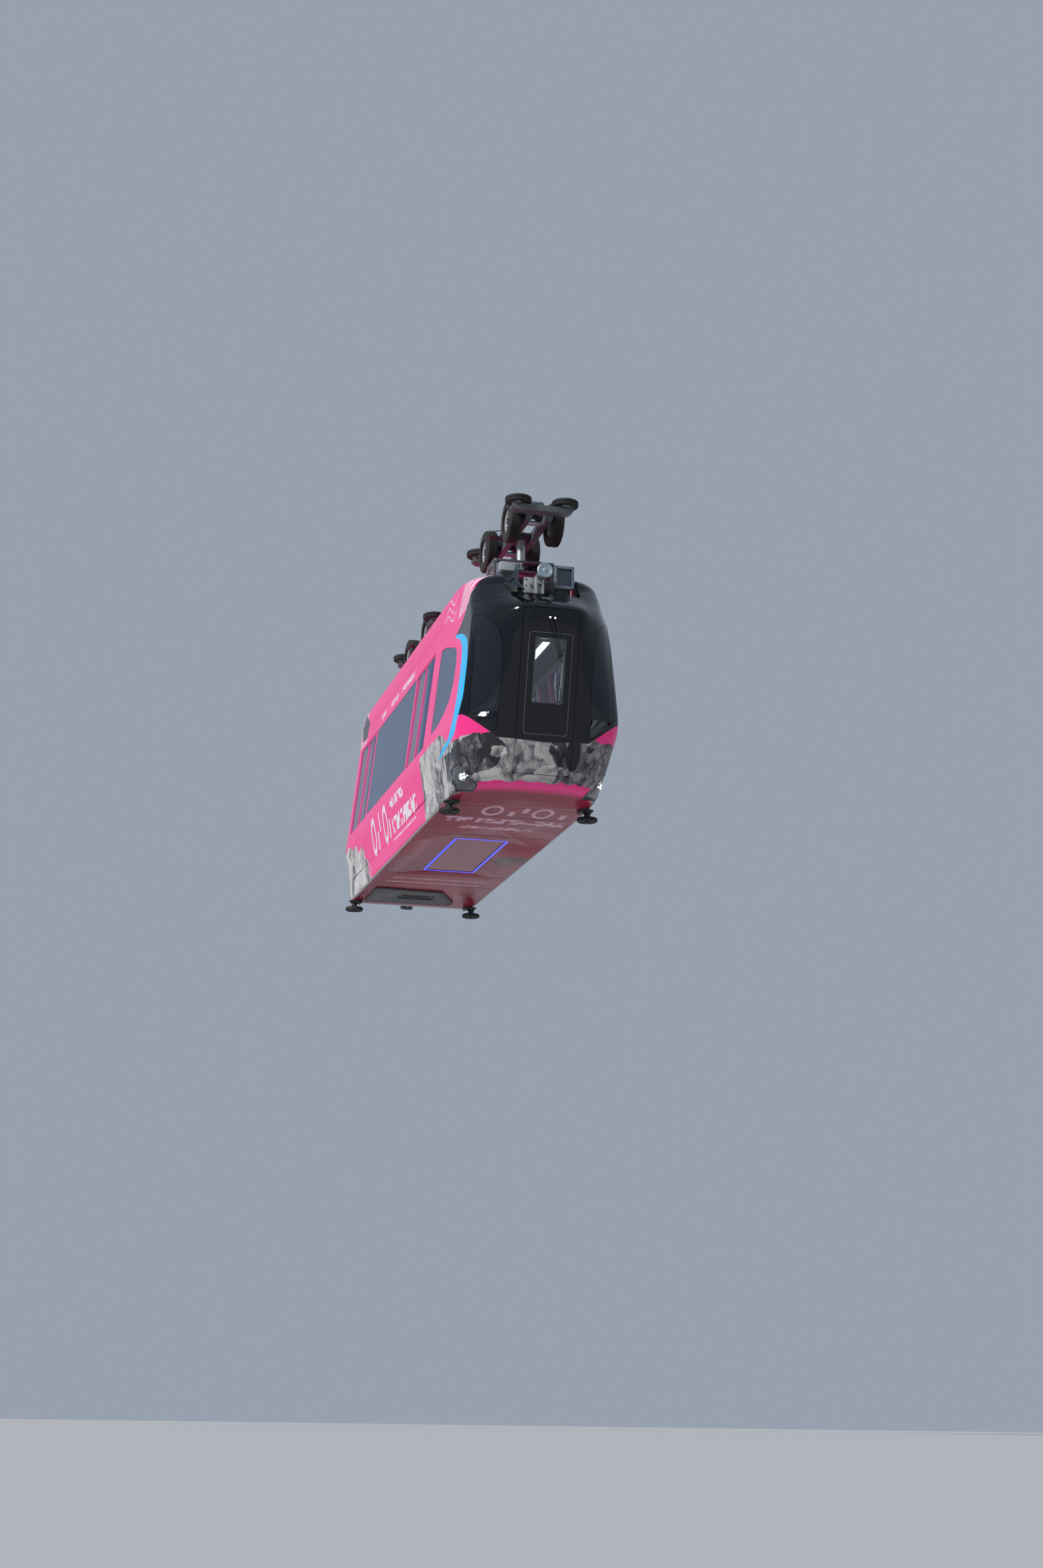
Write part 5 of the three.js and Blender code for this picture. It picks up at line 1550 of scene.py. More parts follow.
def corner_point(y, h):
    """The point of the front corner's skin at a distance from the middle and a height."""
    row = int(np.argmin(abs(SKIN_FORM.points[:, 0, 2] - up(h))))
    line = SKIN_FORM.points[row, SKIN_FORM.SIDE_STEPS:]
    return Vector((float(np.interp(y, line[:, 1], line[:, 0])), y, up(h)))


# Station guide rollers with their brackets
ROLLER_X = {"front": 3.100, "rear": -4.816}
ROLLER_Y = 1.060
ROLLER_TYRE = [(0.110, -0.030), (0.142, -0.030), (0.155, -0.018), (0.155, 0.018), (0.142, 0.030),
               (0.110, 0.030)]
ROLLER_HUB = [(0.026, -0.030), (0.060, -0.030), (0.064, -0.020), (0.108, -0.020), (0.108, 0.020),
              (0.064, 0.020), (0.060, 0.030), (0.026, 0.030)]
POST = [(0, 0.0), (0.098, 0.0), (0.098, -0.012), (0.062, -0.030), (0.062, -0.052), (0.048, -0.060),
        (0.048, -0.108), (0, -0.108)]


def make_station_rollers():
    for place, x in ROLLER_X.items():
        for side_name, side in SIDES.items():
            name, spot = f"station_roller_{place}_{side_name}", (x, side * ROLLER_Y, ROLLER_PLANE)
            top = around(0.085, 6, "z", spot, 0.021)
            rubber, hub = turned(ROLLER_TYRE, "z", spot, 64), turned(ROLLER_HUB, "z", spot, 48)
            parts = [(rubber, TYRE), (hub, DARK_METAL), bolts(0.016, top), bolts(0.016, lowered(top, 0.042))]
            assembled(f"{name}_wheel", parts, name, name)
            make_roller_bracket(place, side_name, x, side)


def make_roller_bracket(place, side_name, x, side):
    y, inboard = side * ROLLER_Y, side * (ROLLER_Y - 0.060)
    plate = raised_block(about(x, 0.110), about(inboard, 0.070), (0.112, 0.168), 0.008)
    post = turned(POST, "z", (x, y, up(0.147)), 40)
    pin = rod((x, y, up(-0.040)), (x, y, up(0.05)), 0.020, 20)
    cap = turned([(0, -0.0478), (0.024, -0.0478), (0.036, -0.045), (0.036, -0.038), (0, -0.038)], "z",
                 (x, y, ROLLER_PLANE), 28)
    screws = spread(about(x, 0.09), about(inboard, 0.05), [up(0.112)], DOWN)
    parts = [(plate, DARK_METAL), (post, DARK_METAL), (pin, STEEL), (cap, DARK_METAL), bolts(0.022, screws)]
    assembled(f"roller_bracket_{place}_{side_name}", parts, BODY, ())


# Underside: floor window with its light frame, dark rear cover, sill strips and panel joints
def plan_ring(x_span, y_half, radius, width, z0, z1):
    whole = rounded_plate(x_span, about(0, y_half), radius, z0, z1)
    hole = rounded_plate(widened(x_span, -width), about(0, y_half - width), max(radius - width, 0.01),
                         z0 - 0.1, z1 + 0.1)
    return combined(whole, hole)


def make_underside():
    span, half = FLOOR_WINDOW["x"], FLOOR_WINDOW["y"]
    pane = rounded_plate(widened(span, -0.004), about(0, half - 0.004), 0.048, up(0.156), up(0.180))
    light = plan_ring(widened(span, -0.003), half - 0.003, 0.048, 0.036, up(0.149), up(0.155))
    trim = plan_ring(widened(span, -0.039), half - 0.039, 0.030, 0.012, up(0.150), up(0.157))
    shown("floor_window_pane", pane, FLOOR_GLASS, BODY, "floor_window", 0.003)
    shown("floor_window_light", light, BLUE_LIGHT, BODY, (), 0.001)
    shown("floor_window_trim", trim, DARK_METAL, BODY, (), 0.001)
    make_rear_cover()
    strip = keep(raised_block((-4.85, 2.55), (-1.098, -1.072), (0.158, 0.196), 0.006),
                 raised_box((-4.6, 2.5), (-1.2, -1.0), (0.1, 0.3)))
    for side_name, side in SIDES.items():
        assembled(f"sill_strip_{side_name}", [(sided(strip, side), SILL_TRIM)], BODY, ())
    seams = [(raised_block(about(x, 0.003), (-1.02, 1.02), (0.1465, 0.1485), 0.0008), SEAL)
             for x in (2.30, 0.95, -2.15, -3.05)]
    assembled("underside_joints", seams, BODY, ())


COVER_PLAN = [(-4.650, -0.930), (-3.450, -0.930), (-3.540, 0.270), (-4.420, 0.640), (-4.650, 0.640)]
COVER_SLOT = {"x": (-4.200, -3.900), "y": (-0.420, 0.200)}


def make_rear_cover():
    slot = (COVER_SLOT["x"], COVER_SLOT["y"])
    round_slot = [widened(span, 0.02) for span in slot]
    plate = prism(rounded(COVER_PLAN, 0.09), up(0.122), up(0.1476), "plan")
    plate = combined(plate, rounded_plate(*slot, 0.07, up(0.10), up(0.139)))
    rim = combined(prism(rounded(grown(COVER_PLAN, -0.020), 0.08), up(0.1185), up(0.124), "plan"),
                   prism(rounded(grown(COVER_PLAN, -0.048), 0.07), up(0.10), up(0.15), "plan"))
    lip = combined(rounded_plate(*round_slot, 0.08, up(0.1185), up(0.124)),
                   rounded_plate(*slot, 0.07, up(0.10), up(0.15)))
    grip = rod((-4.05, -0.35, up(0.129)), (-4.05, 0.13, up(0.129)), 0.009)
    line = grown(COVER_PLAN, -0.075)
    screws = []
    for p, q in zip(line, line[1:] + line[:1]):
        count = max(2, int(math.dist(p, q) / 0.22))
        for part in (k / count for k in range(count)):
            x, y = (a + (b - a) * part for a, b in zip(p, q))
            screws.append(((x, y, up(0.1225)), DOWN, X))
    parts = [(soft(plate, 0.007, 3), COVER_PAINT), (soft(rim, 0.002), DARK_METAL),
             (soft(lip, 0.002), DARK_METAL), (grip, STEEL), bolts(0.018, screws)]
    assembled("rear_floor_cover", parts, BODY, "underfloor_cover")


# Gangway: folded bellows with end frames, end wall fittings and the coupler bar
BELLOWS_LINE = [(-0.820, 0.300), (-0.985, 0.400), (-1.060, 1.080), (-0.900, 2.900), (-0.850, 3.330),
                (-0.680, 3.470)]
BELLOWS_ENDS = (-5.0015, -5.4185)


def bellows_ring(inset):
    whole = BELLOWS_LINE + [(-y, h) for y, h in reversed(BELLOWS_LINE)]
    radii = [0.10, 0.10, 0.30, 0.30, 0.12, 0.12]
    return grown(rounded(whole, radii + radii[::-1], 6), -inset)


def bellows_loop(x, inset):
    return [(x, y, up(h)) for y, h in bellows_ring(inset)]


def make_gangway():
    folds, depth, steps = 8, 0.046, 8
    x0, x1 = BELLOWS_ENDS
    outer_rows, inner_rows = [], []
    for k in range(folds * steps + 1):
        phase = 0.5 - 0.5 * math.cos(2 * math.pi * k / steps)
        x = x0 + (x1 - x0) * (0.05 + 0.90 * k / (folds * steps))
        outer_rows.append(bellows_loop(x, depth * (1 - phase) + 0.004))
        inner_rows.append(bellows_loop(x, depth * (1 - phase) + 0.010))
    loops = outer_rows + inner_rows[::-1]
    faces = grid_faces(len(loops), len(outer_rows[0]), loop_rows=True, loop_columns=True)
    parts = [(mesh_of("bellows", [p for row in loops for p in row], faces), BELLOWS)]
    ring, hole = raised(bellows_ring(0.002)), raised(bellows_ring(0.062))
    for a, b in ((x0 - 0.022, x0), (x1, x1 + 0.022)):
        frame_ring = combined(prism(ring, a, b, "front"), prism(hole, a - 0.1, b + 0.1, "front"))
        parts.append((soft(frame_ring, 0.003), PALE_METAL))
    for k in range(folds):
        x = x0 + (x1 - x0) * (0.05 + 0.90 * (k + 0.5) / folds)
        parts.append((tube(bellows_loop(x, 0.006), 0.005, BELLOWS, True, 6), BELLOWS_PIPING))
    assembled("folded_bellows", parts, BODY, "gangway_bellows", 50)
    make_coupler_bar()
    make_end_fittings()


def make_coupler_bar():
    level = 0.225
    parts = []
    for a, b in ((-5.030, -5.0005), (-5.4198, -5.395)):
        flange = rounded_plate(about(0, 0.110), (up(level - 0.062), up(level + 0.062)), 0.02, a, b, "front")
        parts.append((soft(flange, 0.003), STEEL))
    parts.append((rod((-5.396, 0, up(level)), (-5.03, 0, up(level)), 0.042, 32), STEEL))
    collar = [(0.041, -0.012), (0.052, -0.009), (0.052, 0.009), (0.041, 0.012)]
    parts += [(turned(collar, "x", (x, 0, up(level)), 32), DARK_METAL) for x in (-5.36, -5.21, -5.065)]
    heights = [up(level + h) for h in (-0.04, 0.04)]
    spots = [place for x, way in ((-5.030, -1), (-5.395, 1))
             for place in spread([x], about(0, 0.085), heights, (way, 0, 0), Y)]
    parts.append(bolts(0.024, spots, PALE_METAL))
    assembled("coupler_link", parts, BODY, "coupler_bar")


def make_end_fittings():
    """Door frame round the gangway, seam bolts and the tail lamps on the end wall."""
    half, top = GANGWAY["half"], GANGWAY["top"]

    def doorway(by, x0, x1):
        return rounded_plate(about(0, half + by), (up(THRESHOLD - 0.005), up(top + by)), [0, 0, 0.08, 0.08],
                             x0, x1, "front")

    trim = combined(doorway(0.03, -5.008, -4.922), doorway(-0.003, -5.2, -4.8))
    parts = [(soft(trim, 0.003), STEEL)]
    for y in (-0.72, 0.72):
        lamp = raised_block((-5.022, -5.0), about(y, 0.06), (0.19, 0.26), 0.006)
        red = raised_block((-5.026, -5.021), (y - 0.052, y - 0.004), (0.198, 0.252), 0.002)
        white = raised_block((-5.026, -5.021), (y + 0.004, y + 0.052), (0.198, 0.252), 0.002)
        parts += [(lamp, BLACK_PLASTIC), (red, RED_LIGHT), (white, PALE_METAL)]
    heights = [up(0.62 + 0.21 * k) for k in range(10)]
    parts.append(bolts(0.018, spread([-5.0], about(0, 0.60), heights, (-1, 0, 0), Y)))
    assembled("gangway_trim", parts, BODY, ())
    ribs = spread([-5.36 + 0.045 * k for k in range(9)], [0], [up(0.4805)], Z, Y)
    bar = block(about(0, 0.46), about(0, 0.006), (-0.001, 0.004), 0.0015)
    assembled("footplate_ribs", [(repeated(bar, ribs, STEEL), STEEL)], BODY, ())


# Roof recess: base plate, rescue coupler, brake panel with its valves, sensor frame and air hose
COUPLER_HEAD = (4.560, 0.0, 3.385)
COUPLER_DISC = [
    (0, -0.070), (0.066, -0.070), (0.072, -0.066), (0.116, -0.032), (0.118, -0.026), (0.118, -0.003),
    (0.114, 0.001), (0.104, 0.0098), (0.096, 0.0098), (0.090, 0.004), (0.064, 0.004), (0.060, 0.0),
    (0.036, 0.0), (0.030, 0.006), (0.014, 0.009), (0, 0.009),
]


def make_rescue_coupler():
    level = up(COUPLER_HEAD[2])
    place = (COUPLER_HEAD[0], 0, level)
    head = turned(COUPLER_DISC, "x", place, 64)
    parts = [(head, DISC_METAL), (rod((3.80, 0, level), (4.50, 0, level), 0.0615, 40), PALE_METAL)]
    collar = [(0.060, -0.014), (0.072, -0.010), (0.072, 0.010), (0.060, 0.014)]
    parts += [(turned(collar, "x", (x, 0, level), 40), STEEL) for x in (3.90, 4.06, 4.32, 4.47)]
    backs = [(p, -Vector(f), a) for p, f, a in around(0.100, 8, "x", place, -0.0345)]
    rear = raised_block((3.722, 3.858), about(0, 0.148), (3.032, 3.498), 0.012)
    notches = [raised_box((3.75, 3.83), span, (3.10, 3.30)) for span in ((-0.16, -0.085), (0.085, 0.16))]
    saddle = combined(raised_block((4.122, 4.238), about(0, 0.069), (3.032, 3.384), 0.008),
                      raised_box((4.10, 4.26), about(0, 0.035), (3.09, 3.28)))
    strap = turned([(0.0625, -0.030), (0.071, -0.030), (0.071, 0.030), (0.0625, 0.030)], "x",
                   (4.18, 0, level), 40)
    screws = spread([3.858], about(0, 0.12), [up(h) for h in (3.06, 3.36, 3.46)], X, Y)
    parts += [bolts(0.016, backs), (combined(rear, *notches), PALE_METAL), (saddle, PALE_METAL),
              (strap, STEEL), bolts(0.022, screws)]
    assembled("coupler_assembly", parts, BODY, "rescue_coupler")


def make_recess_wall():
    """A dark lining on the front end of the roof, behind the equipment: dark partly as the fairing's black
    and partly as painted shade from the beam above.
    """
    space = prism(rectangle(-0.556, 0.556, up(3.012), up(3.90)), 3.6605, 3.666, "front")
    lining = both_halves(keep(SKIN_FORM.volume(2.9, ABOVE_ROOF), space))
    rib = block(about(0, 0.170), about(0, 0.010), (-0.002, 0.008), 0.003)
    ribs = repeated(rib, spread([3.666], (-0.10, 0.10, 0.30, 0.48), [up(3.22)], X, Z), DARK_METAL)
    assembled("recess_lining", [(lining, DARK_METAL), (ribs, DARK_METAL)], BODY, ())


VALVE_BODY = [(0, 0.0), (0.030, 0.0), (0.030, 0.020), (0.024, 0.026), (0.024, 0.075), (0.018, 0.084),
              (0, 0.084)]
VALVE_PLACES = [(-0.490, 3.20), (-0.405, 3.20), (-0.490, 3.36), (-0.405, 3.36), (-0.490, 3.50)]
PIPE_LINES = [
    # x, y and height of each pipe's stations
    [(3.76, -0.49, 3.235), (3.80, -0.49, 3.28), (3.76, -0.49, 3.325)],
    [(3.76, -0.405, 3.235), (3.81, -0.405, 3.28), (3.76, -0.405, 3.325)],
    [(3.78, -0.46, 3.56), (3.79, -0.44, 3.46), (3.79, -0.36, 3.40), (3.78, -0.30, 3.16), (3.80, -0.24, 3.09)],
    [(3.85, -0.52, 3.078), (3.87, -0.53, 3.30), (3.84, -0.51, 3.565)],
    [(3.88, 0.10, 3.45), (3.96, 0.22, 3.40), (4.05, 0.33, 3.36), (4.09, 0.35, 3.32)],
    [(3.76, 0.16, 3.04), (3.90, 0.26, 3.045), (4.05, 0.30, 3.05), (4.16, 0.32, 3.06)],
]


def make_recess_equipment():
    base = raised_block((3.692, 4.338), about(0, 0.543), (3.0115, 3.029), 0.004)
    frame_piece = combined(raised_block((4.252, 4.328), (0.207, 0.503), (3.202, 3.558), 0.008),
                           raised_box((4.30, 4.40), (0.240, 0.470), (3.245, 3.515)))
    plate = raised_block((4.296, 4.304), (0.244, 0.466), (3.249, 3.511), 0.002)
    foot = raised_block((4.152, 4.288), (0.252, 0.458), (3.012, 3.258), 0.010)
    box = raised_block((4.06, 4.252), (0.240, 0.470), (3.28, 3.50), 0.008)
    fin = block(about(0, 0.105), about(0, 0.003), (-0.004, 0.012), 0.001)
    fins = spread([4.06 + 0.020 * k for k in range(1, 9)], [0.355], [up(3.50)], Z, Y)
    brake = raised_block((3.702, 3.738), (-0.543, -0.202), (3.012, 3.718), 0.004)
    shelf = raised_block((3.692, 3.958), (-0.543, -0.202), (3.030, 3.078), 0.006)
    valve = raised_block((3.738, 3.898), (-0.528, -0.302), (3.562, 3.698), 0.008)
    parts = [(base, DARK_METAL), (frame_piece, SENSOR_PAINT), (plate, LAMP_COVER_BLUE), (foot, DARK_METAL),
             (box, DARK_METAL), (repeated(fin, fins, DARK_METAL), DARK_METAL),
             (brake, SENSOR_PAINT), (shelf, DARK_METAL), (valve, PALE_METAL)]
    for y, h in VALVE_PLACES:
        parts += [(turned(VALVE_BODY, "x", (3.738, y, up(h)), 28), VALVE_METAL),
                  (rod((3.82, y, up(h)), (3.845, y, up(h)), 0.012, 6), STEEL)]
    for stations in PIPE_LINES:
        line = through([(x, y, up(h)) for x, y, h in stations], 8)
        parts.append((tube(line, 0.007, STEEL, sides=10), STEEL if stations[0][1] < 0 else HOSE_RUBBER))
    slots = [raised_box((3.6, 3.8), (y, y + 0.028), (3.685, 3.742))
             for y in (-0.325, -0.283, -0.241, -0.199, -0.157)]
    bracket = combined(raised_block((3.697, 3.703), (-0.340, -0.130), (3.665, 3.762), 0.001), *slots)
    screws = spread((3.72, 3.90, 4.10, 4.31), about(0, 0.515), [up(3.029)])
    screws += spread([3.738], (-0.53, -0.215), [up(h) for h in (3.12, 3.42, 3.68)], X, Y)
    screws += spread([4.328], (0.222, 0.488), [up(h) for h in (3.218, 3.38, 3.542)], X, Y)
    parts += [(bracket, PALE_METAL), bolts(0.016, screws)]
    assembled("recess_fittings", parts, BODY, "recess_equipment")


# Hangers: yoke on the roof, air springs, bolster and centre pin
BOGIE_X = {"front": 3.0, "rear": -3.0}


KING_PIN = [
    (0, -0.2618), (0.069, -0.2618), (0.069, -0.150), (0.064, -0.145), (0.064, 0.280), (0.069, 0.285),
    (0.069, 0.3655), (0.098, 0.3665), (0.1025, 0.371), (0.1025, 0.412), (0.096, 0.4198), (0.030, 0.4198),
    (0.028, 0.414), (0, 0.414),
]


def make_hanger(place, x):
    plate = rounded_plate(about(x, 0.258), about(0, 0.478), 0.05, -0.131, -0.101)
    hole = turned([(0, -0.3), (0.0905, -0.3), (0.0905, 0.1), (0, 0.1)], "z", (x, 0, 0), 48)
    parts = [(soft(combined(plate, hole), 0.005), STEEL)]
    leg_line = rectangle(*about(x, 0.257), -0.705, -0.133)
    panel = [(x - 0.19, -0.42), (x + 0.19, -0.42), (x + 0.13, -0.19), (x - 0.13, -0.19)]
    for side in (-1, 1):
        leg = combined(prism(leg_line, *beside(side, 0.402, 0.478), "side"),
                       prism(rounded(panel, 0.03), *beside(side, 0.466, 0.5), "side"))
        parts.append((soft(leg, 0.006), STEEL))
        corner = [(side * 0.402, -0.131), (side * 0.402, -0.26), (side * 0.31, -0.131)]
        parts += [(soft(prism(corner, *about(x + dx, 0.008), "front"), 0.003), STEEL)
                  for dx in (-0.225, 0.225)]
        spring = turned(ribbed(0.124, 0.088, 2, 0.022), "z", (x, side * 0.225, -0.221), 56)
        parts.append((spring, MOULDED_RUBBER))
        cap = [(0, 0), (0.108, 0), (0.108, 0.006), (0, 0.006)]
        parts += [(turned(cap, "z", (x, side * 0.225, z), 48), DARK_METAL) for z in (-0.2225, -0.137)]
        spots = spread([x + dx for dx in (-0.20, -0.10, 0.10, 0.20)], [side * 0.440], [-0.101])
        spots += spread(about(x, 0.20), [side * 0.478], (-0.33, -0.20), (0, side, 0))
        parts.append(bolts(0.030, spots, PALE_METAL))
    bolster = rounded_plate(about(x, 0.178), about(0, 0.328), 0.06, -0.2615, -0.2225)
    parts += [(soft(bolster, 0.006), STEEL), (turned(KING_PIN, "z", (x, 0, 0), 56), PALE_METAL),
              bolts(0.026, around(0.070, 6, "z", (x, 0, 0), 0.4195))]
    assembled(f"hanger_assembly_{place}", parts, BODY, f"hanger_{place}")


# Bogies: frame with finned motors, guide pins, axle boxes and power collector
WHEEL_BASE = 0.750
WHEEL_RADIUS = 0.330
GUIDE_PLACE = (1.300, 0.360)


BEAM_LINE = [(-1.206, 0.300), (-1.150, 0.252), (1.150, 0.252), (1.206, 0.300), (1.206, 0.396),
             (-1.206, 0.396)]
BEAM_POCKETS = [(-1.12, -0.90), (-0.60, -0.34), (-0.26, -0.02), (0.02, 0.26), (0.34, 0.60), (0.90, 1.12)]
CROSS_LINE = [(-0.468, 0.340), (-0.400, 0.302), (0.400, 0.302), (0.468, 0.340), (0.468, 0.398),
              (-0.468, 0.398)]
AXLE_COLLAR = [(0.0475, 0.0), (0.070, 0.0), (0.068, 0.012), (0.0475, 0.014)]
GUIDE_PIN = [(0, 0.350), (0.0255, 0.350), (0.0255, 0.531), (0.044, 0.531), (0.0495, 0.535), (0.0495, 0.5405),
             (0.044, 0.5438), (0, 0.5438)]
GUIDE_FOOT = [(0.0250, 0.398), (0.060, 0.398), (0.060, 0.404), (0.046, 0.412), (0.0250, 0.412)]


def make_bogie(place, x):
    parts, screws = [], []
    for side in (-1, 1):
        beam = prism([(x + a, z) for a, z in BEAM_LINE], *beside(side, 0.112, 0.203), "side")
        pockets = [rounded_plate((x + a, x + b), (0.275, 0.375), 0.02, *beside(side, 0.190, 0.22), "side")
                   for a, b in BEAM_POCKETS]
        parts.append((soft(combined(beam, *pockets), 0.005), STEEL))
        for end in (-1, 1):
            axle = (x + end * WHEEL_BASE, side * 0.203, WHEEL_RADIUS)
            collar = turned(AXLE_COLLAR, "y", axle, 40)
            parts.append((collar if side > 0 else placed(mirrored(collar), (0, -0.406, 0)), DARK_METAL))
        ends = [x + dx for dx in (-1.17, -1.13, 1.13, 1.17)]
        screws += spread(ends, [side * 0.203], [0.340], (0, side, 0))
    hole = turned([(0, 0.2), (0.0765, 0.2), (0.0765, 0.5), (0, 0.5)], "z", (x, 0, 0), 48)
    plate = rounded_plate(about(x, 0.229), about(0, 0.112), 0.01, 0.301, 0.359)
    parts.append((soft(combined(plate, hole), 0.004), DARK_METAL))
    for end in (-1, 1):
        cross = prism(CROSS_LINE, *sorted((x + end * 1.202, x + end * 1.398)), "front")
        parts.append((soft(cross, 0.008), STEEL))
        add_motor(parts, screws, x + end * WHEEL_BASE)
        for y in about(0, GUIDE_PLACE[1]):
            spot = (x + end * GUIDE_PLACE[0], y, 0)
            pin, foot = (turned(profile, "z", spot, 32) for profile in (GUIDE_PIN, GUIDE_FOOT))
            parts += [(pin, PALE_METAL), (foot, DARK_METAL)]
    add_collector(parts, x)
    parts.append(bolts(0.026, screws, PALE_METAL))
    assembled(f"bogie_assembly_{place}", parts, f"bogie_{place}", f"bogie_frame_{place}")


MOTOR_CAP = [(0, 0.0), (0.133, 0.0), (0.136, 0.004), (0.136, 0.020), (0.120, 0.029), (0.060, 0.029),
             (0.050, 0.0295), (0, 0.0295)]
MOTOR_FEET = [(-0.188, 0.397), (0.188, 0.397), (0.188, 0.420), (0.110, 0.455), (-0.110, 0.455),
              (-0.188, 0.420)]


def add_motor(parts, screws, x):
    """A finned drum lying across the frame, on its feet, with a terminal box."""
    middle = 0.538
    drum = turned(ribbed(0.139, 0.236, 12, 0.014), "y", (x, -0.118, middle), 56)
    parts.append((drum, MOTOR_PAINT))
    feet = [(x + a, z) for a, z in MOTOR_FEET]
    for side in (-1, 1):
        cap = sided(turned(MOTOR_CAP, "y", (x, 0.119, middle), 56), side, drawn=1)
        spots = on_side(around(0.108, 8, "y", (x, 0, middle), 0.147), side)
        foot = soft(prism(feet, *beside(side, 0.060, 0.148), "side"), 0.004)
        parts += [(cap, DARK_METAL), bolts(0.014, spots), (foot, MOTOR_PAINT)]
        screws += spread(about(x, 0.165), [side * 0.105], [0.421])
    parts.append((block((x + 0.100, x + 0.186), about(0, 0.070), (0.470, 0.600), 0.008), MOTOR_PAINT))


SHOE_LINE = [(-0.198, 0.366), (-0.198, 0.340), (-0.150, 0.282), (0.150, 0.282), (0.198, 0.340),
             (0.198, 0.366)]
CABLE_LINE = [(0.06, -0.526, 0.366), (0.10, -0.46, 0.378), (0.20, -0.30, 0.372), (0.23, -0.205, 0.345)]


def add_collector(parts, x):
    """Power collector: an arm from the beam, two ribbed insulators and a shoe with turned-up ends."""
    shoe = [(x + a, z) for a, z in SHOE_LINE]
    cable = [(x + a, y, z) for a, y, z in CABLE_LINE]
    insulator = ribbed(0.026, 0.052, 3, 0.008)
    parts.append((block(about(x, 0.058), (-0.470, -0.112), (0.302, 0.330), 0.004), DARK_METAL))
    parts += [(turned(insulator, "y", (x + dx, -0.520, 0.326), 28), INSULATOR) for dx in (-0.035, 0.035)]
    parts += [(soft(prism(shoe, -0.5335, -0.5205, "side"), 0.003), STEEL),
              (block(about(x, 0.150), (-0.5445, -0.5335), (0.292, 0.352), 0.002), CARBON),
              (tube(through(cable, 8), 0.009, HOSE_RUBBER, sides=12), HOSE_RUBBER)]


TREAD = [
    (0.196, -0.094), (0.290, -0.0945), (0.316, -0.082), (0.3285, -0.066), (0.3295, -0.056),
    (0.3205, -0.054), (0.3205, -0.044), (0.3298, -0.042), (0.3298, -0.024), (0.3205, -0.022),
    (0.3205, -0.012), (0.3298, -0.010),
]
RIM = [
    (0.0405, -0.060), (0.075, -0.060), (0.080, -0.046), (0.150, -0.040), (0.168, -0.056), (0.186, -0.0615),
    (0.196, -0.0615), (0.196, 0.0615), (0.186, 0.0615), (0.168, 0.030), (0.150, -0.010), (0.080, -0.016),
    (0.075, 0.030), (0.0405, 0.030),
]
WHEEL_HUB = [(0, 0.006), (0.034, 0.006), (0.058, 0.003), (0.060, 0.0), (0.060, -0.030), (0, -0.030)]


def make_wheelset(place, end, x):
    name = f"wheelset_{place}_{end}"
    parts = [(rod((x, -0.380, WHEEL_RADIUS), (x, 0.380, WHEEL_RADIUS), 0.0395, 40), PALE_METAL)]
    lug = block(about(0, 0.011), about(0, 0.009), (-0.003, 0.0035), 0.0015)
    for side in (-1, 1):
        centre = (x, side * WHEEL_RADIUS, WHEEL_RADIUS)
        tyre = turned(TREAD + [(r, -d) for r, d in reversed(TREAD)], "y", centre, 96)
        rim = turned([(r, -d) for r, d in reversed(RIM)], "y", (x, 0.330, WHEEL_RADIUS), 64)
        hub = turned(WHEEL_HUB, "y", (x, 0.390, WHEEL_RADIUS), 40)
        nuts = on_side(around(0.118, 10, "y", (x, 0.330, WHEEL_RADIUS), 0.043), side)
        parts += [(tyre, TYRE), (repeated(lug, lug_places(centre), TYRE), TYRE),
                  (sided(rim, side, drawn=1), RIM_PAINT), bolts(0.024, nuts),
                  (sided(hub, side, drawn=1), DARK_METAL)]
    assembled(f"{name}_wheels", parts, name, name, 30)


def lug_places(centre):
    """Where the lugs sit on a tyre's shoulders, leaning outwards."""
    places = []
    for across in (-0.0740, 0.0740):
        middle = (centre[0], centre[1] + across, centre[2])
        for spot, facing, along in around(0.3195, 54, "y", middle, outward=True):
            lean = (Vector(facing) + Vector((0, math.copysign(0.75, across), 0))).normalized()
            places.append((spot, lean, along))
    return places


GUIDE_TYRE = [
    (0.122, -0.046), (0.176, -0.0495), (0.193, -0.040), (0.1995, -0.026), (0.1995, -0.012), (0.1945, -0.010),
    (0.1945, -0.005), (0.1995, -0.003), (0.1995, 0.003), (0.1945, 0.005), (0.1945, 0.010), (0.1995, 0.012),
    (0.1995, 0.026), (0.193, 0.040), (0.176, 0.0495), (0.122, 0.046),
]
GUIDE_HUB = [
    (0.0325, -0.048), (0.056, -0.048), (0.062, -0.030), (0.104, -0.022), (0.118, -0.040), (0.124, -0.040),
    (0.124, 0.040), (0.118, 0.040), (0.104, 0.022), (0.062, 0.030), (0.056, 0.048), (0.0325, 0.048),
]


def make_guide_wheel(place, end, side_name, x, y):
    name, spot = f"guide_wheel_{place}_{end}_{side_name}", (x, y, 0.470)
    top = around(0.083, 6, "z", spot, 0.026)
    parts = [(turned(GUIDE_TYRE, "z", spot, 72), TYRE), (turned(GUIDE_HUB, "z", spot, 56), RIM_PAINT),
             bolts(0.020, top + lowered(top, 0.052))]
    assembled(f"{name}_tyre", parts, name, name, 30)


def make_running_gear():
    for place, x in BOGIE_X.items():
        make_hanger(place, x)
        make_bogie(place, x)
        for end, way in (("fore", 1), ("aft", -1)):
            make_wheelset(place, end, x + way * WHEEL_BASE)
            for side_name, side in SIDES.items():
                make_guide_wheel(place, end, side_name, x + way * GUIDE_PLACE[0], side * GUIDE_PLACE[1])


# Interior: ceiling with lit strips, moulded seats, grab poles, mat and the driver's desk
SEAT_PITCH = 0.478


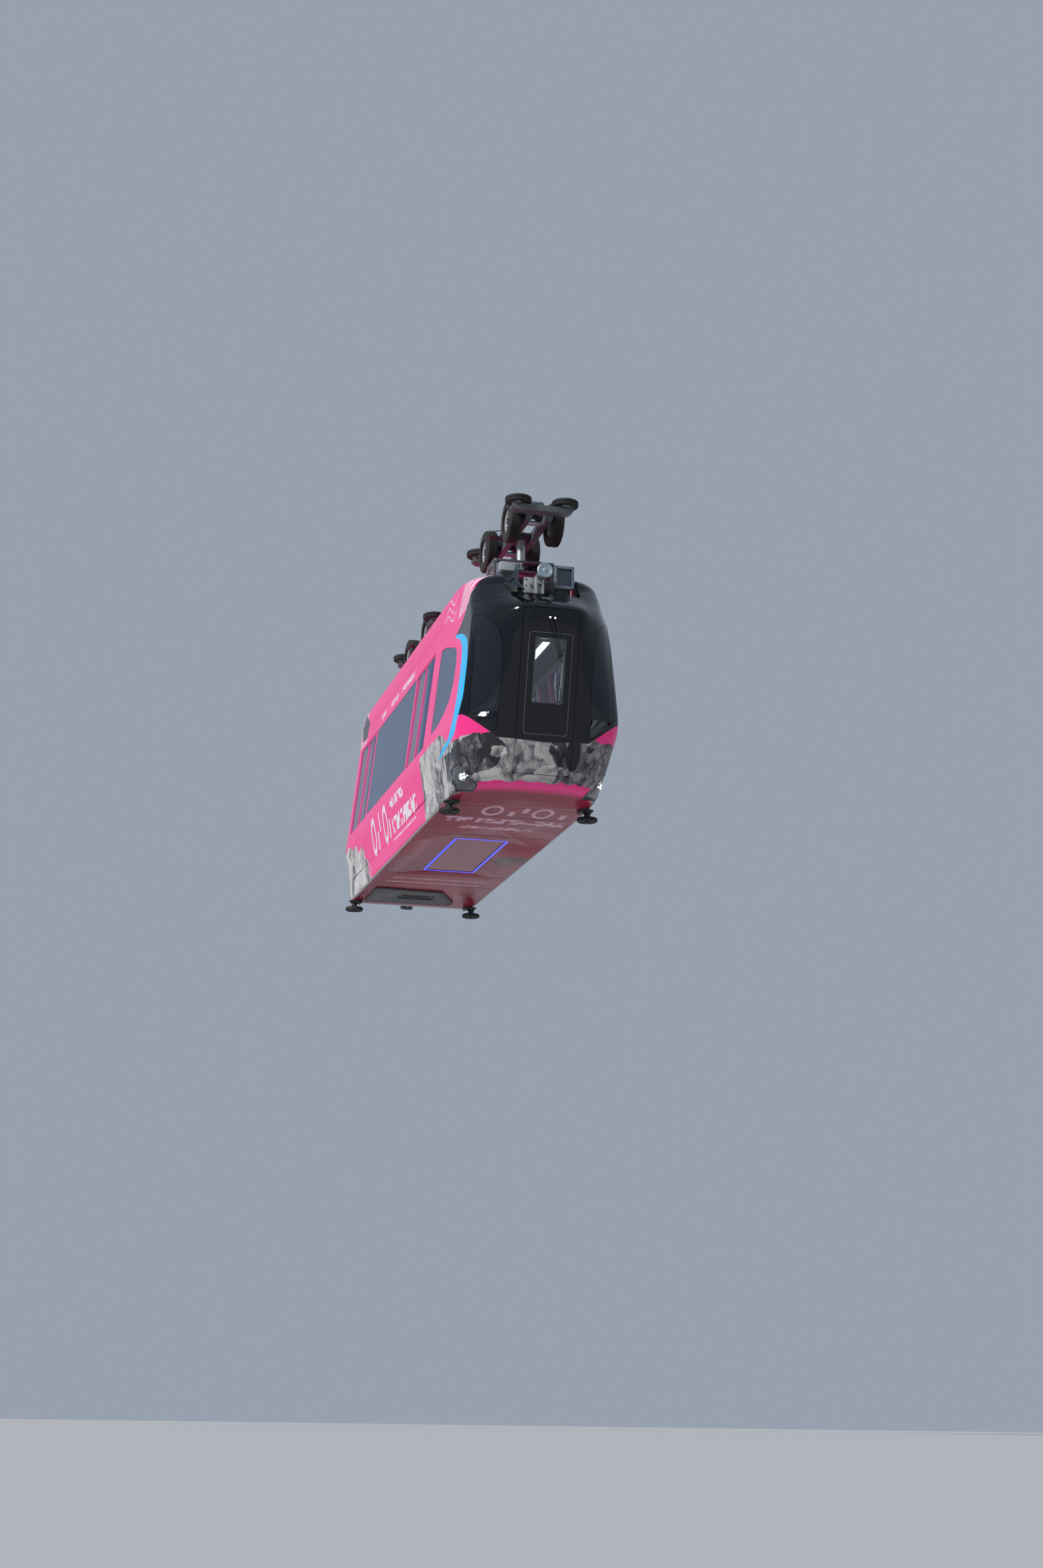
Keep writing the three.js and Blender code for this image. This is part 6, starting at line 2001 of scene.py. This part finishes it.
def make_interior():
    parts = ceiling_parts() + [(sided(mesh, side, drawn=1), material)
                               for side, meshes in ((-1, bench_parts()), (1, bench_parts()))
                               for mesh, material in meshes]
    assembled("cabin_fittings", parts, BODY, "ceiling_and_benches")
    span, half = FLOOR_WINDOW["x"], FLOOR_WINDOW["y"]
    hole = rounded_plate(span, about(0, half), 0.05, up(0.4), up(0.6))
    mat = combined(raised_block((-4.92, 3.60), about(0, 1.02), (0.4905, 0.4975), 0.002), hole)
    shown("cabin_floor_mat", mat, FLOOR_MAT, BODY, (), 0.0)
    edge = plan_ring(widened(span, 0.05), half + 0.05, 0.08, 0.045, up(0.497), up(0.503))
    lid = rounded_plate(widened(span, 0.004), about(0, half + 0.004), 0.05, up(0.482), up(0.494))
    shown("floor_window_trim_inside", soft(edge, 0.002), PALE_METAL, BODY, ())
    shown("floor_window_lid", lid, DOOR_GLASS, BODY, (), 0.002)
    make_desk()


def ceiling_parts():
    ceiling = raised_block((-4.918, 3.548), about(0, 0.930), (2.9285, 2.9475), 0.004)
    slots = [raised_box((-4.7, 3.4), about(y, 0.006), (2.90, 2.934)) for y in (-0.70, -0.40, 0.40, 0.70)]
    lights = [(raised_block(span, about(y, 0.055), (2.920, 2.930), 0.003), CABIN_LIGHT)
              for y in (-0.55, 0.55) for span in ((-4.60, -2.30), (-2.20, 0.10), (0.20, 2.50))]
    return [(combined(ceiling, *slots), LINING)] + lights


def bench_parts():
    """The bench with its shells, poles, rail and straps, on the left side."""
    shell = [
        (raised_block(about(0, 0.230), (0.482, 0.975), (0.884, 0.936), 0.018), SEAT_SHELL),
        (raised_block(about(0, 0.230), (0.974, 1.022), (0.950, 1.496), 0.016), SEAT_SHELL),
        (raised_block(about(0, 0.190), (0.530, 0.920), (0.934, 0.9395), 0.0025), SEAT_PAD),
        (raised_block(about(0, 0.190), (0.969, 0.976), (1.020, 1.440), 0.003), SEAT_PAD),
    ]
    first = -2.95 + 0.25
    places = spread([first + SEAT_PITCH * k for k in range(6)], [0], [0])
    parts = [(repeated(mesh, places, material), material) for mesh, material in shell]
    parts += [(raised_block((-2.80, -0.21), (0.702, 1.024), (0.494, 0.886), 0.012), LINING),
              (raised_block((-2.95, -0.06), (0.50, 0.55), (0.866, 0.884), 0.004), STEEL)]
    bars = [(x, 0.560, 0.900, 2.929, 0.0168, 20) for x in (-2.890, -0.120)]
    hangers = [(x, 0.430, 2.14, 2.929, 0.0125, 16) for x in (-2.89, -1.96, -1.04, -0.12)]
    poles, drops = ([(rod((x, y, up(h0)), (x, y, up(h1)), radius, sides), RAIL_METAL)
                     for x, y, h0, h1, radius, sides in group] for group in (bars, hangers))
    rail = rod((-2.89, 0.430, up(2.14)), (-0.12, 0.430, up(2.14)), 0.0155, 20)
    parts += [*poles, (rail, RAIL_METAL), *drops]
    for x in (-2.66 + 0.29 * k for k in range(9)):
        line = [(0, 2.122), (0, 2.02), (-0.042, 1.952), (0, 1.912), (0.042, 1.952), (0, 2.02)]
        loop = through([(x + dx, 0.430, up(h)) for dx, h in line], 6)
        parts.append((tube(loop, 0.006, STEEL, sides=8), SEAT_PAD))
    return parts


def make_desk():
    outline = [(3.652, 0.499), (3.975, 0.499), (4.112, 1.095), (4.072, 1.232), (3.706, 1.176)]
    desk = prism(rounded(raised(outline), [0.02, 0.02, 0.05, 0.03, 0.03]), -0.897, -0.483, "side")
    slope = Vector((4.072 - 3.706, 0, 1.232 - 1.176)).normalized()
    up_way = Vector((-slope.z, 0, slope.x))
    turn = Matrix((slope, Vector((0, 1, 0)), up_way)).transposed()
    middle = Vector((3.889, -0.690, up(1.204)))
    screen = placed(block((-0.02, 0.13), (-0.17, 0.10), (-0.002, 0.006), 0.003), middle, turn)
    pad = placed(block((-0.15, -0.05), about(0, 0.18), (-0.002, 0.003), 0.002), middle, turn)
    knob = turned([(0, 0), (0.008, 0), (0.008, 0.002), (0.007, 0.008), (0, 0.009)], sides=16)
    spots = [(middle + turn @ Vector((-0.125 + 0.05 * j, -0.15 + 0.05 * k, 0.003)), up_way, slope)
             for j in (0, 1) for k in range(7)]
    lever = placed(rod((0.06, 0.15, 0.0), (0.04, 0.15, 0.07), 0.008, 16), middle, turn)
    parts = [(soft(desk, 0.008), LINING), (screen, MASK_PAINT), (pad, BLACK_PLASTIC),
             (repeated(knob, spots, STEEL), PALE_METAL), (lever, BLACK_PLASTIC)]
    assembled("desk_unit", parts, BODY, "driver_desk")


# Dark panels on the roof's shoulders beside the gangway
SHOULDER_PANEL = [(-4.790, 3.570), (-4.903, 3.284), (-4.734, 3.028), (-4.332, 3.012), (-4.186, 3.283)]


def make_shoulder_panels():
    film = keep(skin_between(2.95, 3.65, -0.0015, 0.0045), side_prism(SHOULDER_PANEL, 0.05))
    paint_sides("shoulder_panel", film, MASK_PAINT, bevel=0.0)


make_emergency_door()
make_headlamps()
make_station_rollers()
make_underside()
make_gangway()
make_rescue_coupler()
make_recess_wall()
make_recess_equipment()
make_running_gear()
make_interior()
make_shoulder_panels()


# Studio: pale floor, soft sky and lights
def make_studio():
    floor_level = CAMERA_PLACE.z - EYE_ABOVE_FLOOR
    corners = [(x, y, floor_level) for x, y in rectangle(-300, 300, -300, 300)]
    mesh = mesh_of("studio_floor", corners, [(0, 1, 2, 3)])
    floor = linked("studio_floor", mesh)
    material, _, _, shader = new_material("studio_floor")
    set_inputs(shader, Base_Color=(0.52, 0.52, 0.52, 1), Roughness=0.8)
    mesh.materials.append(material)
    world = bpy.data.worlds.new("studio")
    world.use_nodes = True
    sky = world.node_tree.nodes["Background"]
    set_inputs(sky, Color=(0.74, 0.84, 1.0, 1), Strength=0.42)
    bpy.context.scene.world = world
    sun_data = bpy.data.lights.new("key", "SUN")
    sun_data.energy = 2.9
    sun_data.angle = math.radians(8)
    sun = bpy.data.objects.new("key", sun_data)
    bpy.context.scene.collection.objects.link(sun)
    sun.rotation_euler = Vector((0.35, -0.8, 0.6)).to_track_quat("Z", "Y").to_euler()
    bpy.context.scene.view_settings.view_transform = "Standard"


make_studio()
